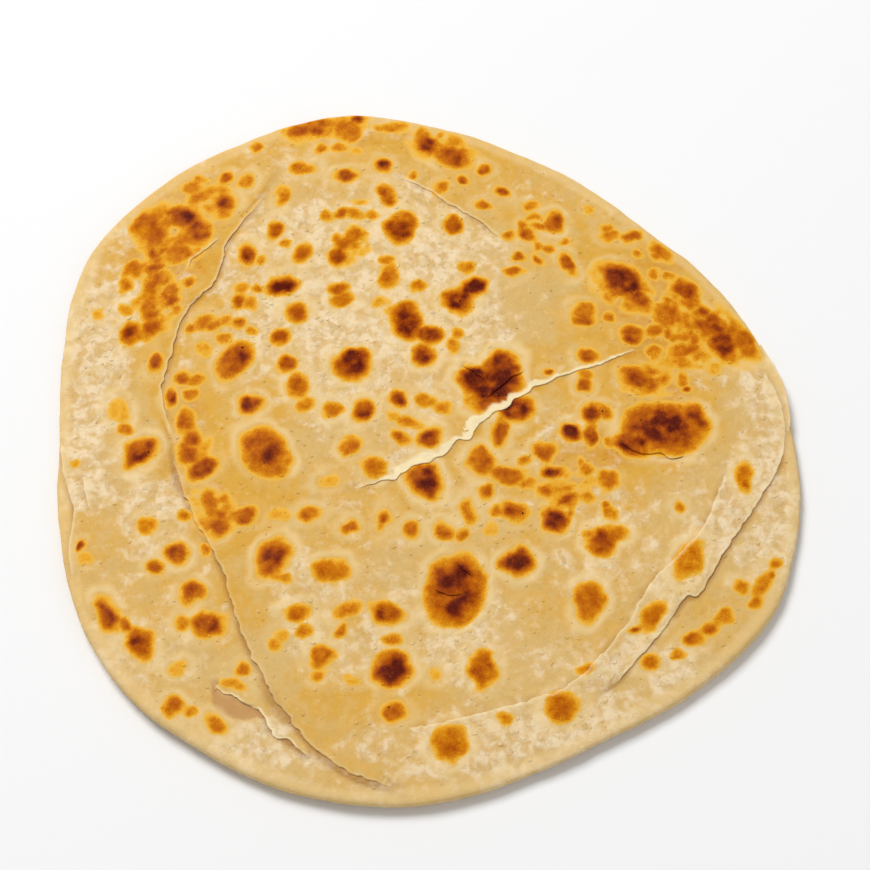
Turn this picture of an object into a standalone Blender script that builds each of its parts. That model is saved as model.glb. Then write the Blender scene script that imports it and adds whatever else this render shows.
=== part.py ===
"""Paratha, a pan-cooked layered flatbread lying flat with its browned face up.

Metres, +Z up. The origin is on the ground under the middle of the bread.

The bread is one piece of folded dough, so it is one solid. Its outline is an uneven
round, its rim is rolled over, and its top carries the relief of the layers: the flap
folded in from the left, the edges of the crown layer over the layer below, the torn
seam across the middle, and a slow swell. Its underside is flat, so that it rests.
"""

import math
from collections import namedtuple

import bmesh
import bpy

# ---------------------------------------------------------------- driving sizes (metres)

# How far the rim is from the middle, at even bearings anticlockwise from +X.
RIM_REACHES = (
    0.1083, 0.1054, 0.1018, 0.0978, 0.0998, 0.1030, 0.1090, 0.1160,
    0.1172, 0.1194, 0.1196, 0.1132, 0.1084, 0.1104, 0.1142, 0.1162,
    0.1152, 0.1145, 0.1122, 0.1076, 0.1064, 0.1100, 0.1140, 0.1115,
)

MIDDLE_THICKNESS = 0.0054
RIM_THICKNESS = 0.0042
THICKNESS_FALL_POWER = 5.0

# The rim is fuller on one side, where the rolled edge puffed up in the pan.
PUFF_BEARING = math.radians(232.0)
PUFF_SPREAD = math.radians(34.0)
PUFF_RISE = 0.0013

# How far in from the rim its rolled round starts.
RIM_ROLL = 0.0026
RIM_ROLL_STEPS = 5

# Slow swells of the top: wavelength, the bearing they run along, phase, height.
SWELLS = (
    (0.125, math.radians(20.0), 0.6, 0.00045),
    (0.082, math.radians(112.0), 2.1, 0.00035),
    (0.056, math.radians(65.0), 4.0, 0.00025),
)

GRID_CELLS = 48

# ---------------------------------------------------------------- edges of the layers

# An edge of a layer on the top. Its route runs with the raised layer on its left;
# the layer stands `rise` above its neighbour, and sinks back over `reach`.
LayerEdge = namedtuple("LayerEdge", "route rise reach")

# The drop at an edge takes place over this width.
EDGE_WIDTH = 0.0032
# Towards both ends of its route an edge fades out over this length.
EDGE_FADE = 0.016

LEFT_FLAP = LayerEdge(
    route=(
        (-0.075, -0.006), (-0.078, 0.006), (-0.077, 0.018), (-0.074, 0.037), (-0.064, 0.054),
        (-0.059, 0.071), (-0.048, 0.087), (-0.040, 0.100),
    ),
    rise=0.0012,
    reach=0.026,
)
CROWN_LEFT_EDGE = LayerEdge(
    route=(
        (-0.075, -0.008), (-0.068, -0.024), (-0.058, -0.043), (-0.050, -0.067), (-0.040, -0.085),
        (-0.028, -0.098), (-0.004, -0.109),
    ),
    rise=0.0013,
    reach=0.024,
)
CROWN_RIGHT_EDGE = LayerEdge(
    route=(
        (0.049, -0.081), (0.067, -0.062), (0.082, -0.045), (0.093, -0.028), (0.104, -0.010),
        (0.105, 0.013), (0.097, 0.028),
    ),
    rise=0.0012,
    reach=0.022,
)
TORN_SEAM = LayerEdge(
    route=((-0.021, -0.020), (0.001, -0.010), (0.014, 0.002), (0.038, 0.017), (0.072, 0.030)),
    rise=0.0009,
    reach=0.014,
)
INNER_STEP = LayerEdge(
    route=((-0.009, -0.092), (0.021, -0.085), (0.045, -0.073), (0.078, -0.034), (0.088, -0.008)),
    rise=0.0006,
    reach=0.018,
)
LAYER_EDGES = (LEFT_FLAP, CROWN_LEFT_EDGE, CROWN_RIGHT_EDGE, TORN_SEAM, INNER_STEP)

DOUGH_COLOUR = (0.72, 0.55, 0.29, 1.0)
DOUGH_ROUGHNESS = 0.62


# ---------------------------------------------------------------- shape rules

def smooth_step(value):
    """Ease from 0 to 1 as value goes from 0 to 1."""
    value = min(max(value, 0.0), 1.0)
    return value * value * (3.0 - 2.0 * value)


def rim_reach(bearing):
    """Distance from the middle to the rim along a bearing, smooth between the sizes."""
    place = bearing / math.tau * len(RIM_REACHES)
    index = math.floor(place)
    along = place - index
    before, start, end, after = (RIM_REACHES[(index + step) % len(RIM_REACHES)] for step in (-1, 0, 1, 2))
    bend = along * (3.0 * (start - end) + after - before)
    bend = along * (2.0 * before - 5.0 * start + 4.0 * end - after + bend)
    return start + 0.5 * along * (end - before + bend)


def puff(bearing):
    """Extra height of the rim's fuller side at a bearing."""
    turn = (bearing - PUFF_BEARING + math.pi) % math.tau - math.pi
    return PUFF_RISE * math.exp(-((turn / PUFF_SPREAD) ** 2))


def place_beside(x, y, route):
    """Signed distance from a route, positive on its left, and the length along it and beyond."""
    nearest = (math.inf, 0.0, 0.0)
    travelled = 0.0
    for (ax, ay), (bx, by) in zip(route, route[1:]):
        length = math.hypot(bx - ax, by - ay)
        along_x, along_y = (bx - ax) / length, (by - ay) / length
        forward = (x - ax) * along_x + (y - ay) * along_y
        clamped = min(max(forward, 0.0), length)
        gap = math.hypot(x - ax - clamped * along_x, y - ay - clamped * along_y)
        if gap < nearest[0]:
            side = along_x * (y - ay) - along_y * (x - ax)
            nearest = (gap, math.copysign(gap, side), travelled + clamped)
        travelled += length
    return nearest[1], nearest[2], travelled


def edge_rise(x, y, edge):
    """Height that one layer's edge adds to the top at a point."""
    offset, travelled, total = place_beside(x, y, edge.route)
    step = smooth_step(offset / EDGE_WIDTH + 0.5)
    fade = smooth_step(travelled / EDGE_FADE) * smooth_step((total - travelled) / EDGE_FADE)
    return edge.rise * step * fade * math.exp(-((offset / edge.reach) ** 2))


def swell(x, y):
    """Height of the slow swells at a point."""
    height = 0.0
    for wavelength, bearing, phase, size in SWELLS:
        distance = x * math.cos(bearing) + y * math.sin(bearing)
        height += size * math.sin(math.tau * distance / wavelength + phase)
    return height


def rim_height(bearing):
    """Height of the top where the rim's roll starts."""
    return RIM_THICKNESS + puff(bearing)


def top_height(x, y):
    """Height of the bread's top at a point."""
    bearing = math.atan2(y, x)
    share = min(math.hypot(x, y) / (rim_reach(bearing) - RIM_ROLL), 1.0)
    fall = share ** THICKNESS_FALL_POWER
    relief = swell(x, y) + sum(edge_rise(x, y, edge) for edge in LAYER_EDGES)
    return MIDDLE_THICKNESS + (rim_height(bearing) - MIDDLE_THICKNESS) * fall + relief * (1.0 - fall)


# ---------------------------------------------------------------- building

def round_from_square(u, v):
    """Point of the unit disc for a point of the square from -1 to 1."""
    return u * math.sqrt(1.0 - v * v / 2.0), v * math.sqrt(1.0 - u * u / 2.0)


def lay_top(bm):
    """Lay the top as a grid pulled into the bread's outline and raised by its relief."""
    bmesh.ops.create_grid(bm, x_segments=GRID_CELLS, y_segments=GRID_CELLS, size=1.0)
    for vert in bm.verts:
        u, v = round_from_square(vert.co.x, vert.co.y)
        bearing = math.atan2(v, u)
        reach = math.hypot(u, v) * (rim_reach(bearing) - RIM_ROLL)
        x, y = reach * math.cos(bearing), reach * math.sin(bearing)
        vert.co = (x, y, top_height(x, y))


def roll_rim(bm):
    """Roll the rim over and down to the ground, and close it with the flat underside."""
    rim = [edge for edge in bm.edges if edge.is_boundary]
    for step in range(1, RIM_ROLL_STEPS + 1):
        turn = math.pi * step / RIM_ROLL_STEPS
        rolled = bmesh.ops.extrude_edge_only(bm, edges=rim)["geom"]
        rim = [item for item in rolled if isinstance(item, bmesh.types.BMEdge)]
        for vert in (item for item in rolled if isinstance(item, bmesh.types.BMVert)):
            bearing = math.atan2(vert.co.y, vert.co.x)
            reach = rim_reach(bearing) - RIM_ROLL * (1.0 - math.sin(turn))
            height = rim_height(bearing) * 0.5 * (1.0 + math.cos(turn))
            vert.co = (reach * math.cos(bearing), reach * math.sin(bearing), height)
    bmesh.ops.contextual_create(bm, geom=rim)


def centre_over_origin(bm):
    """Shift the bread so that the middle of its length and width is over the origin."""
    for axis in (0, 1):
        low = min(vert.co[axis] for vert in bm.verts)
        high = max(vert.co[axis] for vert in bm.verts)
        for vert in bm.verts:
            vert.co[axis] -= 0.5 * (low + high)


def make_dough():
    """Make the bread's plain material."""
    dough = bpy.data.materials.new("dough")
    dough.use_nodes = True
    shader = dough.node_tree.nodes["Principled BSDF"]
    shader.inputs["Base Color"].default_value = DOUGH_COLOUR
    shader.inputs["Roughness"].default_value = DOUGH_ROUGHNESS
    shader.inputs["Metallic"].default_value = 0.0
    return dough


def make_paratha():
    """Build the bread as one closed solid."""
    bm = bmesh.new()
    lay_top(bm)
    roll_rim(bm)
    centre_over_origin(bm)
    bmesh.ops.recalc_face_normals(bm, faces=bm.faces)
    mesh = bpy.data.meshes.new("paratha")
    bm.to_mesh(mesh)
    bm.free()
    mesh.shade_smooth()
    mesh.set_sharp_from_angle(angle=math.radians(60.0))
    mesh.materials.append(make_dough())
    return bpy.data.objects.new("paratha", mesh)


def main():
    """Clear the scene and build the bread in its own collection."""
    for old in list(bpy.data.objects):
        bpy.data.objects.remove(old, do_unlink=True)
    collection = bpy.data.collections.new("paratha")
    bpy.context.scene.collection.children.link(collection)
    collection.objects.link(make_paratha())


main()
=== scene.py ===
"""Looks of a paratha, a pan-cooked layered flatbread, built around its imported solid.

Metres, +Z up, in the solid's own frame. The bread lies on the ground with its browned
face up. One closed body carries the round, the rolled rim and the toasted blisters.
The edges of the folded layers, the torn seam and the torn skin are thin sheets that
grow out of the body's top and end in free edges. Crumbs of char and tiny white blisters
are scattered over it.
"""

import logging
import math
from dataclasses import dataclass, field
from enum import Enum

import bmesh
import bpy
import numpy as np
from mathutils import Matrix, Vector


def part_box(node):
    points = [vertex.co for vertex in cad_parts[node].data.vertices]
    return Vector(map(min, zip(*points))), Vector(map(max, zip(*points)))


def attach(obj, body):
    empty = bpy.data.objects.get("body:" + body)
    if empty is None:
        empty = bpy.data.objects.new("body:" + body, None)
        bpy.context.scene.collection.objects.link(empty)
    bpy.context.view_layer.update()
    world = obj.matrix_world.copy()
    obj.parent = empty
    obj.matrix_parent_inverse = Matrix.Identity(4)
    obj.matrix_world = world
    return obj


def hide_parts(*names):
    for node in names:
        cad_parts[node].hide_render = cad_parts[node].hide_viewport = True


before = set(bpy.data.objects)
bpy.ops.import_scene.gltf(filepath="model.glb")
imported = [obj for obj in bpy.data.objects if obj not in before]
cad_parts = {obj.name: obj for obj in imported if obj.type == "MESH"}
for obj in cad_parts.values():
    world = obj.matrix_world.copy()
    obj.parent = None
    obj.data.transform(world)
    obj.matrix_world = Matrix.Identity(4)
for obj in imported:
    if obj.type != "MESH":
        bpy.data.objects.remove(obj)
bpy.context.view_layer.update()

LOG = logging.getLogger("paratha")
NODE = "paratha"
BODY = "root"


# ------------------------------------------------------------------ rules of the plane

def smooth_step(low: float, high: float, value: np.ndarray) -> np.ndarray:
    """Ease from 0 to 1 as a value goes from low to high.

    Args:
        low: Value where the result is 0.
        high: Value where the result is 1.
        value: Values to ease.

    Returns:
        The eased values.
    """
    share = np.clip((value - low) / (high - low), 0.0, 1.0)
    return share * share * (3.0 - 2.0 * share)


@dataclass(frozen=True)
class Noise:
    """Seeded smooth noise over the plane, from about -1 to 1.

    Attributes:
        seed: Seed of its lattice.
        size: Distance between lattice points, in metres.
        octaves: How many times the noise is added at half the size and half the height.
    """

    seed: int
    size: float
    octaves: int = 1

    CELLS = 256
    # Cosine and sine of the lattice's turn, which keeps its rows off the axes.
    COSINE = 0.8
    SINE = 0.6
    FINER = 2.03

    def _layer(self, lattice: np.ndarray, x: np.ndarray, y: np.ndarray) -> np.ndarray:
        """One octave, from lattice values eased between the four nearest points.

        Args:
            lattice: Values of the lattice.
            x: Places along its columns, in cells.
            y: Places along its rows, in cells.

        Returns:
            The octave there.
        """
        column, row = np.floor(x).astype(int), np.floor(y).astype(int)
        across, along = x - column, y - row
        across = across ** 3 * (across * (across * 6.0 - 15.0) + 10.0)
        along = along ** 3 * (along * (along * 6.0 - 15.0) + 10.0)
        left, right = column % self.CELLS, (column + 1) % self.CELLS
        low, high = row % self.CELLS, (row + 1) % self.CELLS
        bottom = lattice[left, low] * (1.0 - across) + lattice[right, low] * across
        top = lattice[left, high] * (1.0 - across) + lattice[right, high] * across
        return bottom * (1.0 - along) + top * along

    def __call__(self, x: np.ndarray, y: np.ndarray) -> np.ndarray:
        """Value of the noise.

        Args:
            x: Places along X, in metres.
            y: Places along Y, in metres.

        Returns:
            The noise there.
        """
        rng = np.random.default_rng(self.seed)
        total, share, scale = np.zeros(np.shape(x)), 1.0, 1.0 / self.size
        for _ in range(self.octaves):
            lattice = rng.uniform(-1.0, 1.0, (self.CELLS, self.CELLS))
            turned_x = self.COSINE * x + self.SINE * y
            turned_y = -self.SINE * x + self.COSINE * y
            total += share * self._layer(lattice, turned_x * scale, turned_y * scale)
            share, scale = share * 0.5, scale * self.FINER
        return total


@dataclass(frozen=True)
class Route:
    """A smooth line over the bread through a few points of the plane, in metres."""

    points: tuple[tuple[float, float], ...]

    CURVE_STEPS = 24
    COARSE = 0.004

    @property
    def length(self) -> float:
        """Length of the line through its points, in metres."""
        return float(np.hypot(*np.diff(np.array(self.points), axis=0).T).sum())

    def sampled(self, spacing: float) -> np.ndarray:
        """Even points along the line.

        Args:
            spacing: Distance between points, in metres.

        Returns:
            An array of the points, one a row.
        """
        knots = np.array(self.points, float)
        padded = np.vstack([2.0 * knots[0] - knots[1], knots, 2.0 * knots[-1] - knots[-2]])
        dense = []
        share = np.linspace(0.0, 1.0, self.CURVE_STEPS, endpoint=False)[:, None]
        for before, start, end, after in zip(padded, padded[1:], padded[2:], padded[3:]):
            bend = share * (3.0 * (start - end) + after - before)
            bend = share * (2.0 * before - 5.0 * start + 4.0 * end - after + bend)
            dense.append(start + 0.5 * share * (end - before + bend))
        line = np.vstack([*dense, knots[-1:]])
        lengths = np.concatenate([[0.0], np.cumsum(np.hypot(*np.diff(line, axis=0).T))])
        count = max(int(round(lengths[-1] / spacing)), 3)
        places = np.linspace(0.0, lengths[-1], count + 1)
        return np.stack([np.interp(places, lengths, line[:, axis]) for axis in (0, 1)], axis=1)

    def beside(self, x: np.ndarray, y: np.ndarray) -> tuple[np.ndarray, np.ndarray]:
        """Where points lie beside the line.

        Args:
            x: Places along X, in metres.
            y: Places along Y, in metres.

        Returns:
            The signed distance, positive on the line's left, and the share of its
            length at the nearest point, from 0 to 1.
        """
        line = self.sampled(self.COARSE)
        best = np.full(np.shape(x), np.inf)
        side, share = np.zeros(np.shape(x)), np.zeros(np.shape(x))
        count = len(line) - 1
        for index, (start, end) in enumerate(zip(line, line[1:])):
            run = end - start
            length = math.hypot(*run)
            run = run / length
            forward = np.clip((x - start[0]) * run[0] + (y - start[1]) * run[1], 0.0, length)
            gap = np.hypot(x - start[0] - forward * run[0], y - start[1] - forward * run[1])
            nearer = gap < best
            cross = run[0] * (y - start[1]) - run[1] * (x - start[0])
            best = np.where(nearer, gap, best)
            side = np.where(nearer, np.copysign(gap, cross), side)
            share = np.where(nearer, (index + forward / length) / count, share)
        return side, share


def line_through(*points: tuple[float, float]) -> Route:
    """A route through points in millimetres."""
    return Route(tuple((0.001 * x, 0.001 * y) for x, y in points))


# ------------------------------------------------------------------ toasted marks

class Toast(Enum):
    """How far a mark is toasted at its middle, from bare dough at 0 to char at 1.

    A tint is a wide golden patch that joins a group of marks.
    """

    TINT = 0.28
    FAINT = 0.22
    GOLD = 0.43
    AMBER = 0.56
    BROWN = 0.73
    DARK = 0.97


@dataclass(frozen=True)
class Mark:
    """A toasted blister.

    Attributes:
        x: Middle along X, in metres.
        y: Middle along Y, in metres.
        length: Longer size, in metres.
        width: Shorter size, in metres.
        turn: Turn of the longer size from X, in degrees.
        toast: How far it is toasted.
    """

    x: float
    y: float
    length: float
    width: float
    turn: float
    toast: Toast


def marks(toast: Toast, *rows: tuple[float, ...]) -> list[Mark]:
    """Marks of one toast, each from a row in millimetres and degrees."""
    return [Mark(*(0.001 * size for size in row[:4]), *(row[4:] or (0.0,)), toast) for row in rows]


# A mark's row is: x, y, length, width (millimetres) and, if it is turned, turn (degrees).
CROWN_MARKS = [
    *marks(
        Toast.DARK,
        (-8, 70.5, 12, 10.5, 80), (-22, 22.5, 12, 12), (-6, 37, 16, 11.5, 110), (10, 44.5, 10.5, 10.5, 60),
        (15.5, 16.5, 14, 11, 160), (23, 21, 14, 12, 60), (20, 14.5, 21, 15, 45), (27, 7, 11, 10, 20),
        (14, 49, 11, 7.5, 20), (-44, 50, 11, 7.5, 10), (0, -16, 14, 10, 120), (70, 1, 26, 19, 175),
        (61, -4, 12, 9, 160), (8, -50, 23.5, 18, 75), (-9, -73.5, 12, 11.5, 70), (60, 51, 16, 12, 145),
        (42.5, -1, 8, 7.5), (26, -42, 10, 9.5), (37, -28.3, 9, 9, 60),
    ),
    *marks(
        Toast.BROWN,
        (1, 32, 9, 8), (-47, -7, 20, 14, 115), (-57.5, 23.5, 15, 10, 58), (-1, 25, 8, 7.5),
        (22, -0.5, 10, 5, 85), (-52, 9, 7.5, 6.5), (-55, 61, 8.5, 7, 90), (-56.5, 44, 6, 5.5, 90),
        (-27, 59.8, 8.5, 7.5, 10), (-25, 89, 8.5, 6), (-14, 93, 6, 5.5), (8, 71, 7.5, 7, 120),
        (49, 5.5, 7.5, 6, 80), (48.6, -1.5, 9.5, 5, 88), (16, -10, 10.5, 9.5, 80),
        (23.5, -14.3, 12.5, 6, 175), (0.7, -2.3, 8.5, 7.5, 20), (-8.7, 10.2, 6, 6), (37, -12.8, 8, 5),
        (26, -26, 9, 7, 10), (-43.5, -40, 14, 9.5, 65), (50, -35.5, 10, 9.5, 80), (79, 3.5, 10, 11),
        (-42.5, 22, 7, 6), (65, 44.5, 10, 7, 150), (-19, 6.2, 8, 7.5, 30), (41, -21.5, 7, 4.5, 10),
        (16, -74, 11.5, 9.5, 100), (-11, -57, 11, 7, 160), (62.5, 17.8, 9, 8.5),
    ),
    *marks(
        Toast.AMBER,
        (-47, 69.5, 7.5, 4.5, 80), (-37.8, 61, 8.5, 5.5, 75), (-23, 67, 8, 6.5, 60), (-26.3, 49, 6.5, 5),
        (-44, 31.5, 7.5, 6.5), (-38, 15.5, 9, 7.5, 100), (-64, 35.5, 5.5, 4, 60), (-28, 7, 7, 6.5),
        (-22, -5, 7, 6.5, 60), (-15, -12, 8, 7.5), (34.7, -7, 7, 6), (46.8, -12.3, 6, 5.5),
        (53, -15.5, 6.5, 6.5), (18, -20, 6, 5.5), (35, -19.5, 5.5, 4), (48, 38, 8.5, 5.5),
        (48.5, 25.5, 7, 6), (47.3, 15.8, 5.5, 5.5), (-27, -44.5, 11.5, 9), (11.8, -26, 8.5, 5, 95),
        (4.8, -31.8, 6, 6), (-4.2, -31.5, 6, 5, 90), (-12, -28.5, 7, 4.2, 80), (-21.7, -31, 5.5, 5),
        (-33.7, -26.6, 6.5, 4), (-36.5, -57, 8, 6.5), (-29, -70, 8, 6.5, 15), (46, -54, 12.5, 9, 82),
        (38, -85, 11.5, 9, 5), (7, -95, 11.5, 10.5), (64, -58.3, 11, 7, 58), (-52, -27.4, 8.5, 6, 10),
        (-14, 84, 4.5, 4), (-11.8, 80.5, 5, 4), (-40.5, 92.5, 4.5, 4), (-26, 74.8, 5.5, 4.5),
        (-9, -86.3, 7.5, 6), (18, 78.3, 5, 4), (31.2, 67.4, 6.5, 4, 130), (25.3, 67.7, 5, 3.5),
        (26.8, 54.3, 6.5, 3.5), (27.8, 60, 4, 3.5), (33.7, 58.7, 5, 3.2, 130), (-11.5, 53, 9.5, 6, 78),
        (-39.5, 39.8, 8.5, 8, 20), (-62, -24, 8, 6.5, 105), (-59.5, -30.5, 8, 7, 120), (-56.6, 36, 4.5, 4),
        (-71.3, 34.3, 4.2, 3.6), (-7.5, -2.2, 6, 4, 155), (-23, -62.5, 3.8, 5),
    ),
    *marks(
        Toast.GOLD,
        (-67, 37, 7, 6), (-25.5, 45, 7, 5.5), (-12.2, 58.7, 4, 3.5), (-2, 49, 6, 4.2),
        (0, 9.6, 6.5, 5.5, 160), (4.8, 7.5, 5, 4), (-5, 3, 8, 4, 170), (-35.5, 9, 5.5, 5),
        (-45, 82, 8, 4.5, 88), (-39, 92, 9, 5.5, 10), (-12.5, 82.2, 9, 6.5, 100), (-16.8, 75, 4.5, 4),
        (-30.5, 74, 4.5, 5), (-22, 74.5, 5.5, 4), (-33.6, 99.8, 5, 4), (-56.5, 48.4, 4.5, 4),
        (-51.5, 48.4, 3.5, 3.2), (-53, 43, 4.2, 4.2), (-60.5, 31, 4.2, 3.2), (-60.7, 37.2, 4, 3.5),
        (-52.3, 33.6, 3, 3), (8.5, 28.3, 6, 4.5, 90), (10.3, 32.8, 3.4, 2.8), (28.2, -9.5, 4.5, 4),
        (30, -17, 5, 3.5), (20, -26, 4.5, 3.5), (10, -33, 4.5, 4), (54.5, -32.5, 7, 6, 20),
        (52.5, 6.2, 5.5, 5.5), (53, -26, 3.5, 4.5), (48, 40.6, 8, 5.5), (55.5, 39, 4, 4),
        (47.8, 19.2, 4.5, 3.5), (34.7, 70.6, 5, 3.4), (30, 71.4, 3.6, 3.4), (37.7, 62.6, 4, 3.2),
        (34.3, 63.3, 3.4, 2.6), (12, 55.6, 5.5, 4.5), (-34, -63, 6, 4.8), (-22, -56.3, 8, 4.2, 20),
        (-41, -46.7, 4, 3.4), (-29.5, -75.5, 4.2, 4.2), (-42.6, -67.2, 3.6, 3.6), (70, 17.3, 6, 4, 10),
        (75, -41.5, 14, 8, 58), (92.7, -15.3, 11.5, 5, 87), (22.2, -88.5, 5, 3.5, 20), (-9, -64.5, 5.5, 3),
        (44.6, -74, 5, 3.4, 20), (73.3, -24.5, 3.6, 4), (-43, 64.5, 3, 3), (-50, 58, 3, 3),
    ),
    *marks(
        Toast.FAINT,
        (-66.5, 27.5, 5, 4.5), (-14, 43.8, 6, 4, 20), (18.7, -31, 5, 4), (3, -74.6, 4.5, 4.5),
        (-20.3, -77, 5, 3.5), (-40.5, -64.3, 3.5, 4), (-42, -27, 6, 3.4), (-20.7, 79.6, 5, 3.2),
        (51.3, 76.7, 4, 3.4), (-22.8, 98.4, 4, 3), (-9.8, 4.7, 4.5, 3.2), (-28, -16, 6, 4.5),
    ),
]
TINTS = marks(
    Toast.TINT,
    (-79, 67, 26, 22, 120), (-82, 45, 20, 14, 90), (-68, 79, 20, 12, 40), (89, 33, 26, 14, 120),
    (78, 40, 18, 12, 110), (44, -18.5, 24, 11, 15), (-61, -26, 18, 13, 110), (-31, 107.5, 26, 9, 12),
    (5, 99.5, 24, 11, 160), (60, 49, 22, 15, 145), (78, 25, 10, 18, 90), (-68, -6, 22, 10, 112),
    (-24, 63, 16, 12, 50), (66, 17, 16, 11),
)
RIM_MARKS = [
    *marks(Toast.DARK, (-84, -7, 12, 10, 50)),
    *marks(
        Toast.BROWN,
        (-62, 80, 8, 7.5, 80), (-75, 74, 13, 8.5, 150), (-70, 69, 10.5, 8.5, 110), (-89, 32.3, 9.5, 8, 60),
        (-81, 23, 8, 5, 70), (-65, -12, 9.5, 7, 30), (-76, 11, 6, 4.2, 80), (-90, -58, 11.5, 6.5, 115),
        (-80, -66, 12, 8.5, 120), (-61, -61, 11, 9, 20), (-71, -39, 8, 7, 150), (0, 101.5, 10, 8, 130),
        (8, 96.5, 14, 8.5, 160), (18, 92, 5, 5), (24, 83, 5, 4.2, 120), (39.5, 72.3, 8.5, 8),
        (43, 57, 8.5, 5.5, 110), (62, 32.8, 8.5, 7.5), (79, 48.5, 11.5, 7.5, 150), (87, 36, 10.5, 8.5, 120),
        (89.5, 29, 12, 9.5, 115), (-22, 110.5, 7.5, 4.5), (-35, 106.8, 6, 4.5, 10), (11.1, 87.3, 5, 4.5),
    ),
    *marks(
        Toast.AMBER,
        (-86.5, 71, 12.5, 10, 60), (-83, 67, 10, 8, 30), (-76, 61, 10.5, 8, 60), (-89, 55, 7, 6),
        (-92, 49.8, 5, 4.4), (-84, 41, 9, 7, 90), (-83, 34.3, 9.5, 7, 80), (96, 30.3, 14, 6.8, 120),
        (72, 39.5, 9, 8.5, 60), (80.5, 43.8, 7, 6.5), (-83, 56, 6, 5), (-78, 44, 7.5, 5, 60),
        (-63, 89, 5, 4), (-73, 18, 7, 4.8, 70), (-71, 3, 10, 6.5, 100), (-69, -3, 6.5, 6), (-69, -8, 8, 7),
        (-66, -51, 8, 7.5), (-76.8, -43.2, 5, 4.8), (-69.4, -85, 6, 5.8), (-57.8, -90, 7, 4.5, 140),
        (69, 34, 5.5, 4.8), (72.3, 61.5, 9, 4.8, 130), (63.5, 67.5, 7.5, 5, 20), (-41, 107.3, 10, 6, 20),
        (-32.5, 109.7, 7.5, 4.5, 10), (75.5, -64.5, 6, 4.8), (80.3, -61.3, 6, 4.4, 20), (90, -48.7, 5, 4.4),
        (32.6, 78.2, 5, 3.4), (77, 32, 4.6, 3.6), (84, 40.8, 4.6, 3.6), (-85, -60.8, 5, 3.6, 140),
        (-53.5, 99.8, 4, 4), (-72.5, 51, 4, 3.4), (62.5, -71.3, 6, 4.4, 25), (-25, 106.5, 9, 7.5),
    ),
    *marks(
        Toast.GOLD,
        (-73, 85, 7.5, 5.5), (-71, 88.5, 4.5, 3.6), (-69, 82, 5, 4.5), (-56, 87.5, 6.5, 5, 60),
        (-63, 75.5, 5, 5), (-81, 52, 8, 6.5), (-77, 48.7, 4.5, 4), (-91.5, 41, 4.5, 4.5),
        (-69, 17.5, 5.5, 4.5), (-69.6, 12, 4.5, 4.5), (-88.8, 0.6, 4.5, 3.6), (-80, -30.3, 6, 5.5),
        (-68.3, -60, 5, 4.5), (-51.4, -74, 5.2, 4.2), (-64.8, -86.8, 3.8, 3.6), (-53, -78.6, 6, 3, 155),
        (95.8, -48.5, 11, 4.6, 72), (93.7, -53.5, 5, 3.6, 20), (99.8, -41.4, 4.5, 3.6),
        (83.8, -58.3, 6, 4.2, 20), (70.5, -69.5, 4, 3.2), (57, 68, 6, 4.2), (56, 71, 3.6, 2.8),
        (79, 38, 5.5, 4.5, 90), (80.5, 31, 4, 5), (69, 26.5, 5.5, 5.5), (77, 17, 4, 4.5),
        (-11, 108, 10, 3.8), (77.5, 23.2, 7, 6, 90), (-1.7, 105, 6, 4.6), (-63, -38, 3, 3),
    ),
    *marks(
        Toast.FAINT,
        (-91, 7, 9.5, 7.5, 120), (-69, -73.3, 6, 5), (86.6, 20.7, 5, 4), (-103, -10, 3.4, 2.8),
        (-97, -40.8, 4, 3), (65, 78, 5, 3.4, 150), (-98.7, 40, 4, 4),
    ),
    *marks(
        Toast.BROWN,
        (36.8, 19.5, 3, 2.6), (77.8, 13.9, 2.8, 2.6), (98, -45, 2.8, 2.6), (58.3, -62, 3, 2.4, 20),
        (52.5, -24, 2.6, 2.2), (93.3, -17.8, 3, 2.8), (-98.9, -37, 2.6, 4), (70.8, 17.6, 2.6, 2.4),
    ),
]


@dataclass(frozen=True)
class Freckles:
    """A loose group of small marks.

    Attributes:
        x: Middle along X, in metres.
        y: Middle along Y, in metres.
        reach: Spread of the group, in metres.
        count: How many marks it has.
        size: Middle size of a mark, in metres.
        toast: How far they are toasted.
    """

    x: float
    y: float
    reach: float
    count: int
    size: float
    toast: Toast

    def scattered(self, rng: np.random.Generator) -> list[Mark]:
        """Draw the group's marks.

        Args:
            rng: The seeded generator.

        Returns:
            The marks.
        """
        group = []
        for _ in range(self.count):
            away_x, away_y = rng.normal(0.0, 0.5 * self.reach, 2)
            size = self.size * rng.uniform(0.6, 1.4)
            slim = rng.uniform(0.55, 1.0)
            turn = rng.uniform(0.0, 180.0)
            group.append(Mark(self.x + away_x, self.y + away_y, size, size * slim, turn, self.toast))
        return group


FRECKLES = (
    Freckles(0.033, 0.066, 0.012, 4, 0.0028, Toast.GOLD),
    Freckles(-0.078, 0.072, 0.014, 7, 0.0042, Toast.AMBER),
    Freckles(-0.083, 0.050, 0.012, 7, 0.0040, Toast.GOLD),
    Freckles(0.044, -0.018, 0.014, 9, 0.0034, Toast.GOLD),
    Freckles(0.078, 0.032, 0.012, 8, 0.0034, Toast.GOLD),
    Freckles(0.068, 0.058, 0.014, 4, 0.0030, Toast.GOLD),
    Freckles(-0.028, 0.107, 0.012, 5, 0.0036, Toast.GOLD),
    Freckles(0.004, 0.099, 0.012, 4, 0.0036, Toast.GOLD),
    Freckles(-0.062, -0.026, 0.010, 4, 0.0032, Toast.GOLD),
)


@dataclass(frozen=True)
class Tones:
    """What the marks do to places of the dough, each number from 0 to 1.

    Attributes:
        toast: How toasted a place is.
        ring: How much it lies on the pale ring round a mark.
        dome: How much it lies on a blister.
        glow: How golden it is from the marks near it.
    """

    toast: np.ndarray
    ring: np.ndarray
    dome: np.ndarray
    glow: np.ndarray


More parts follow.
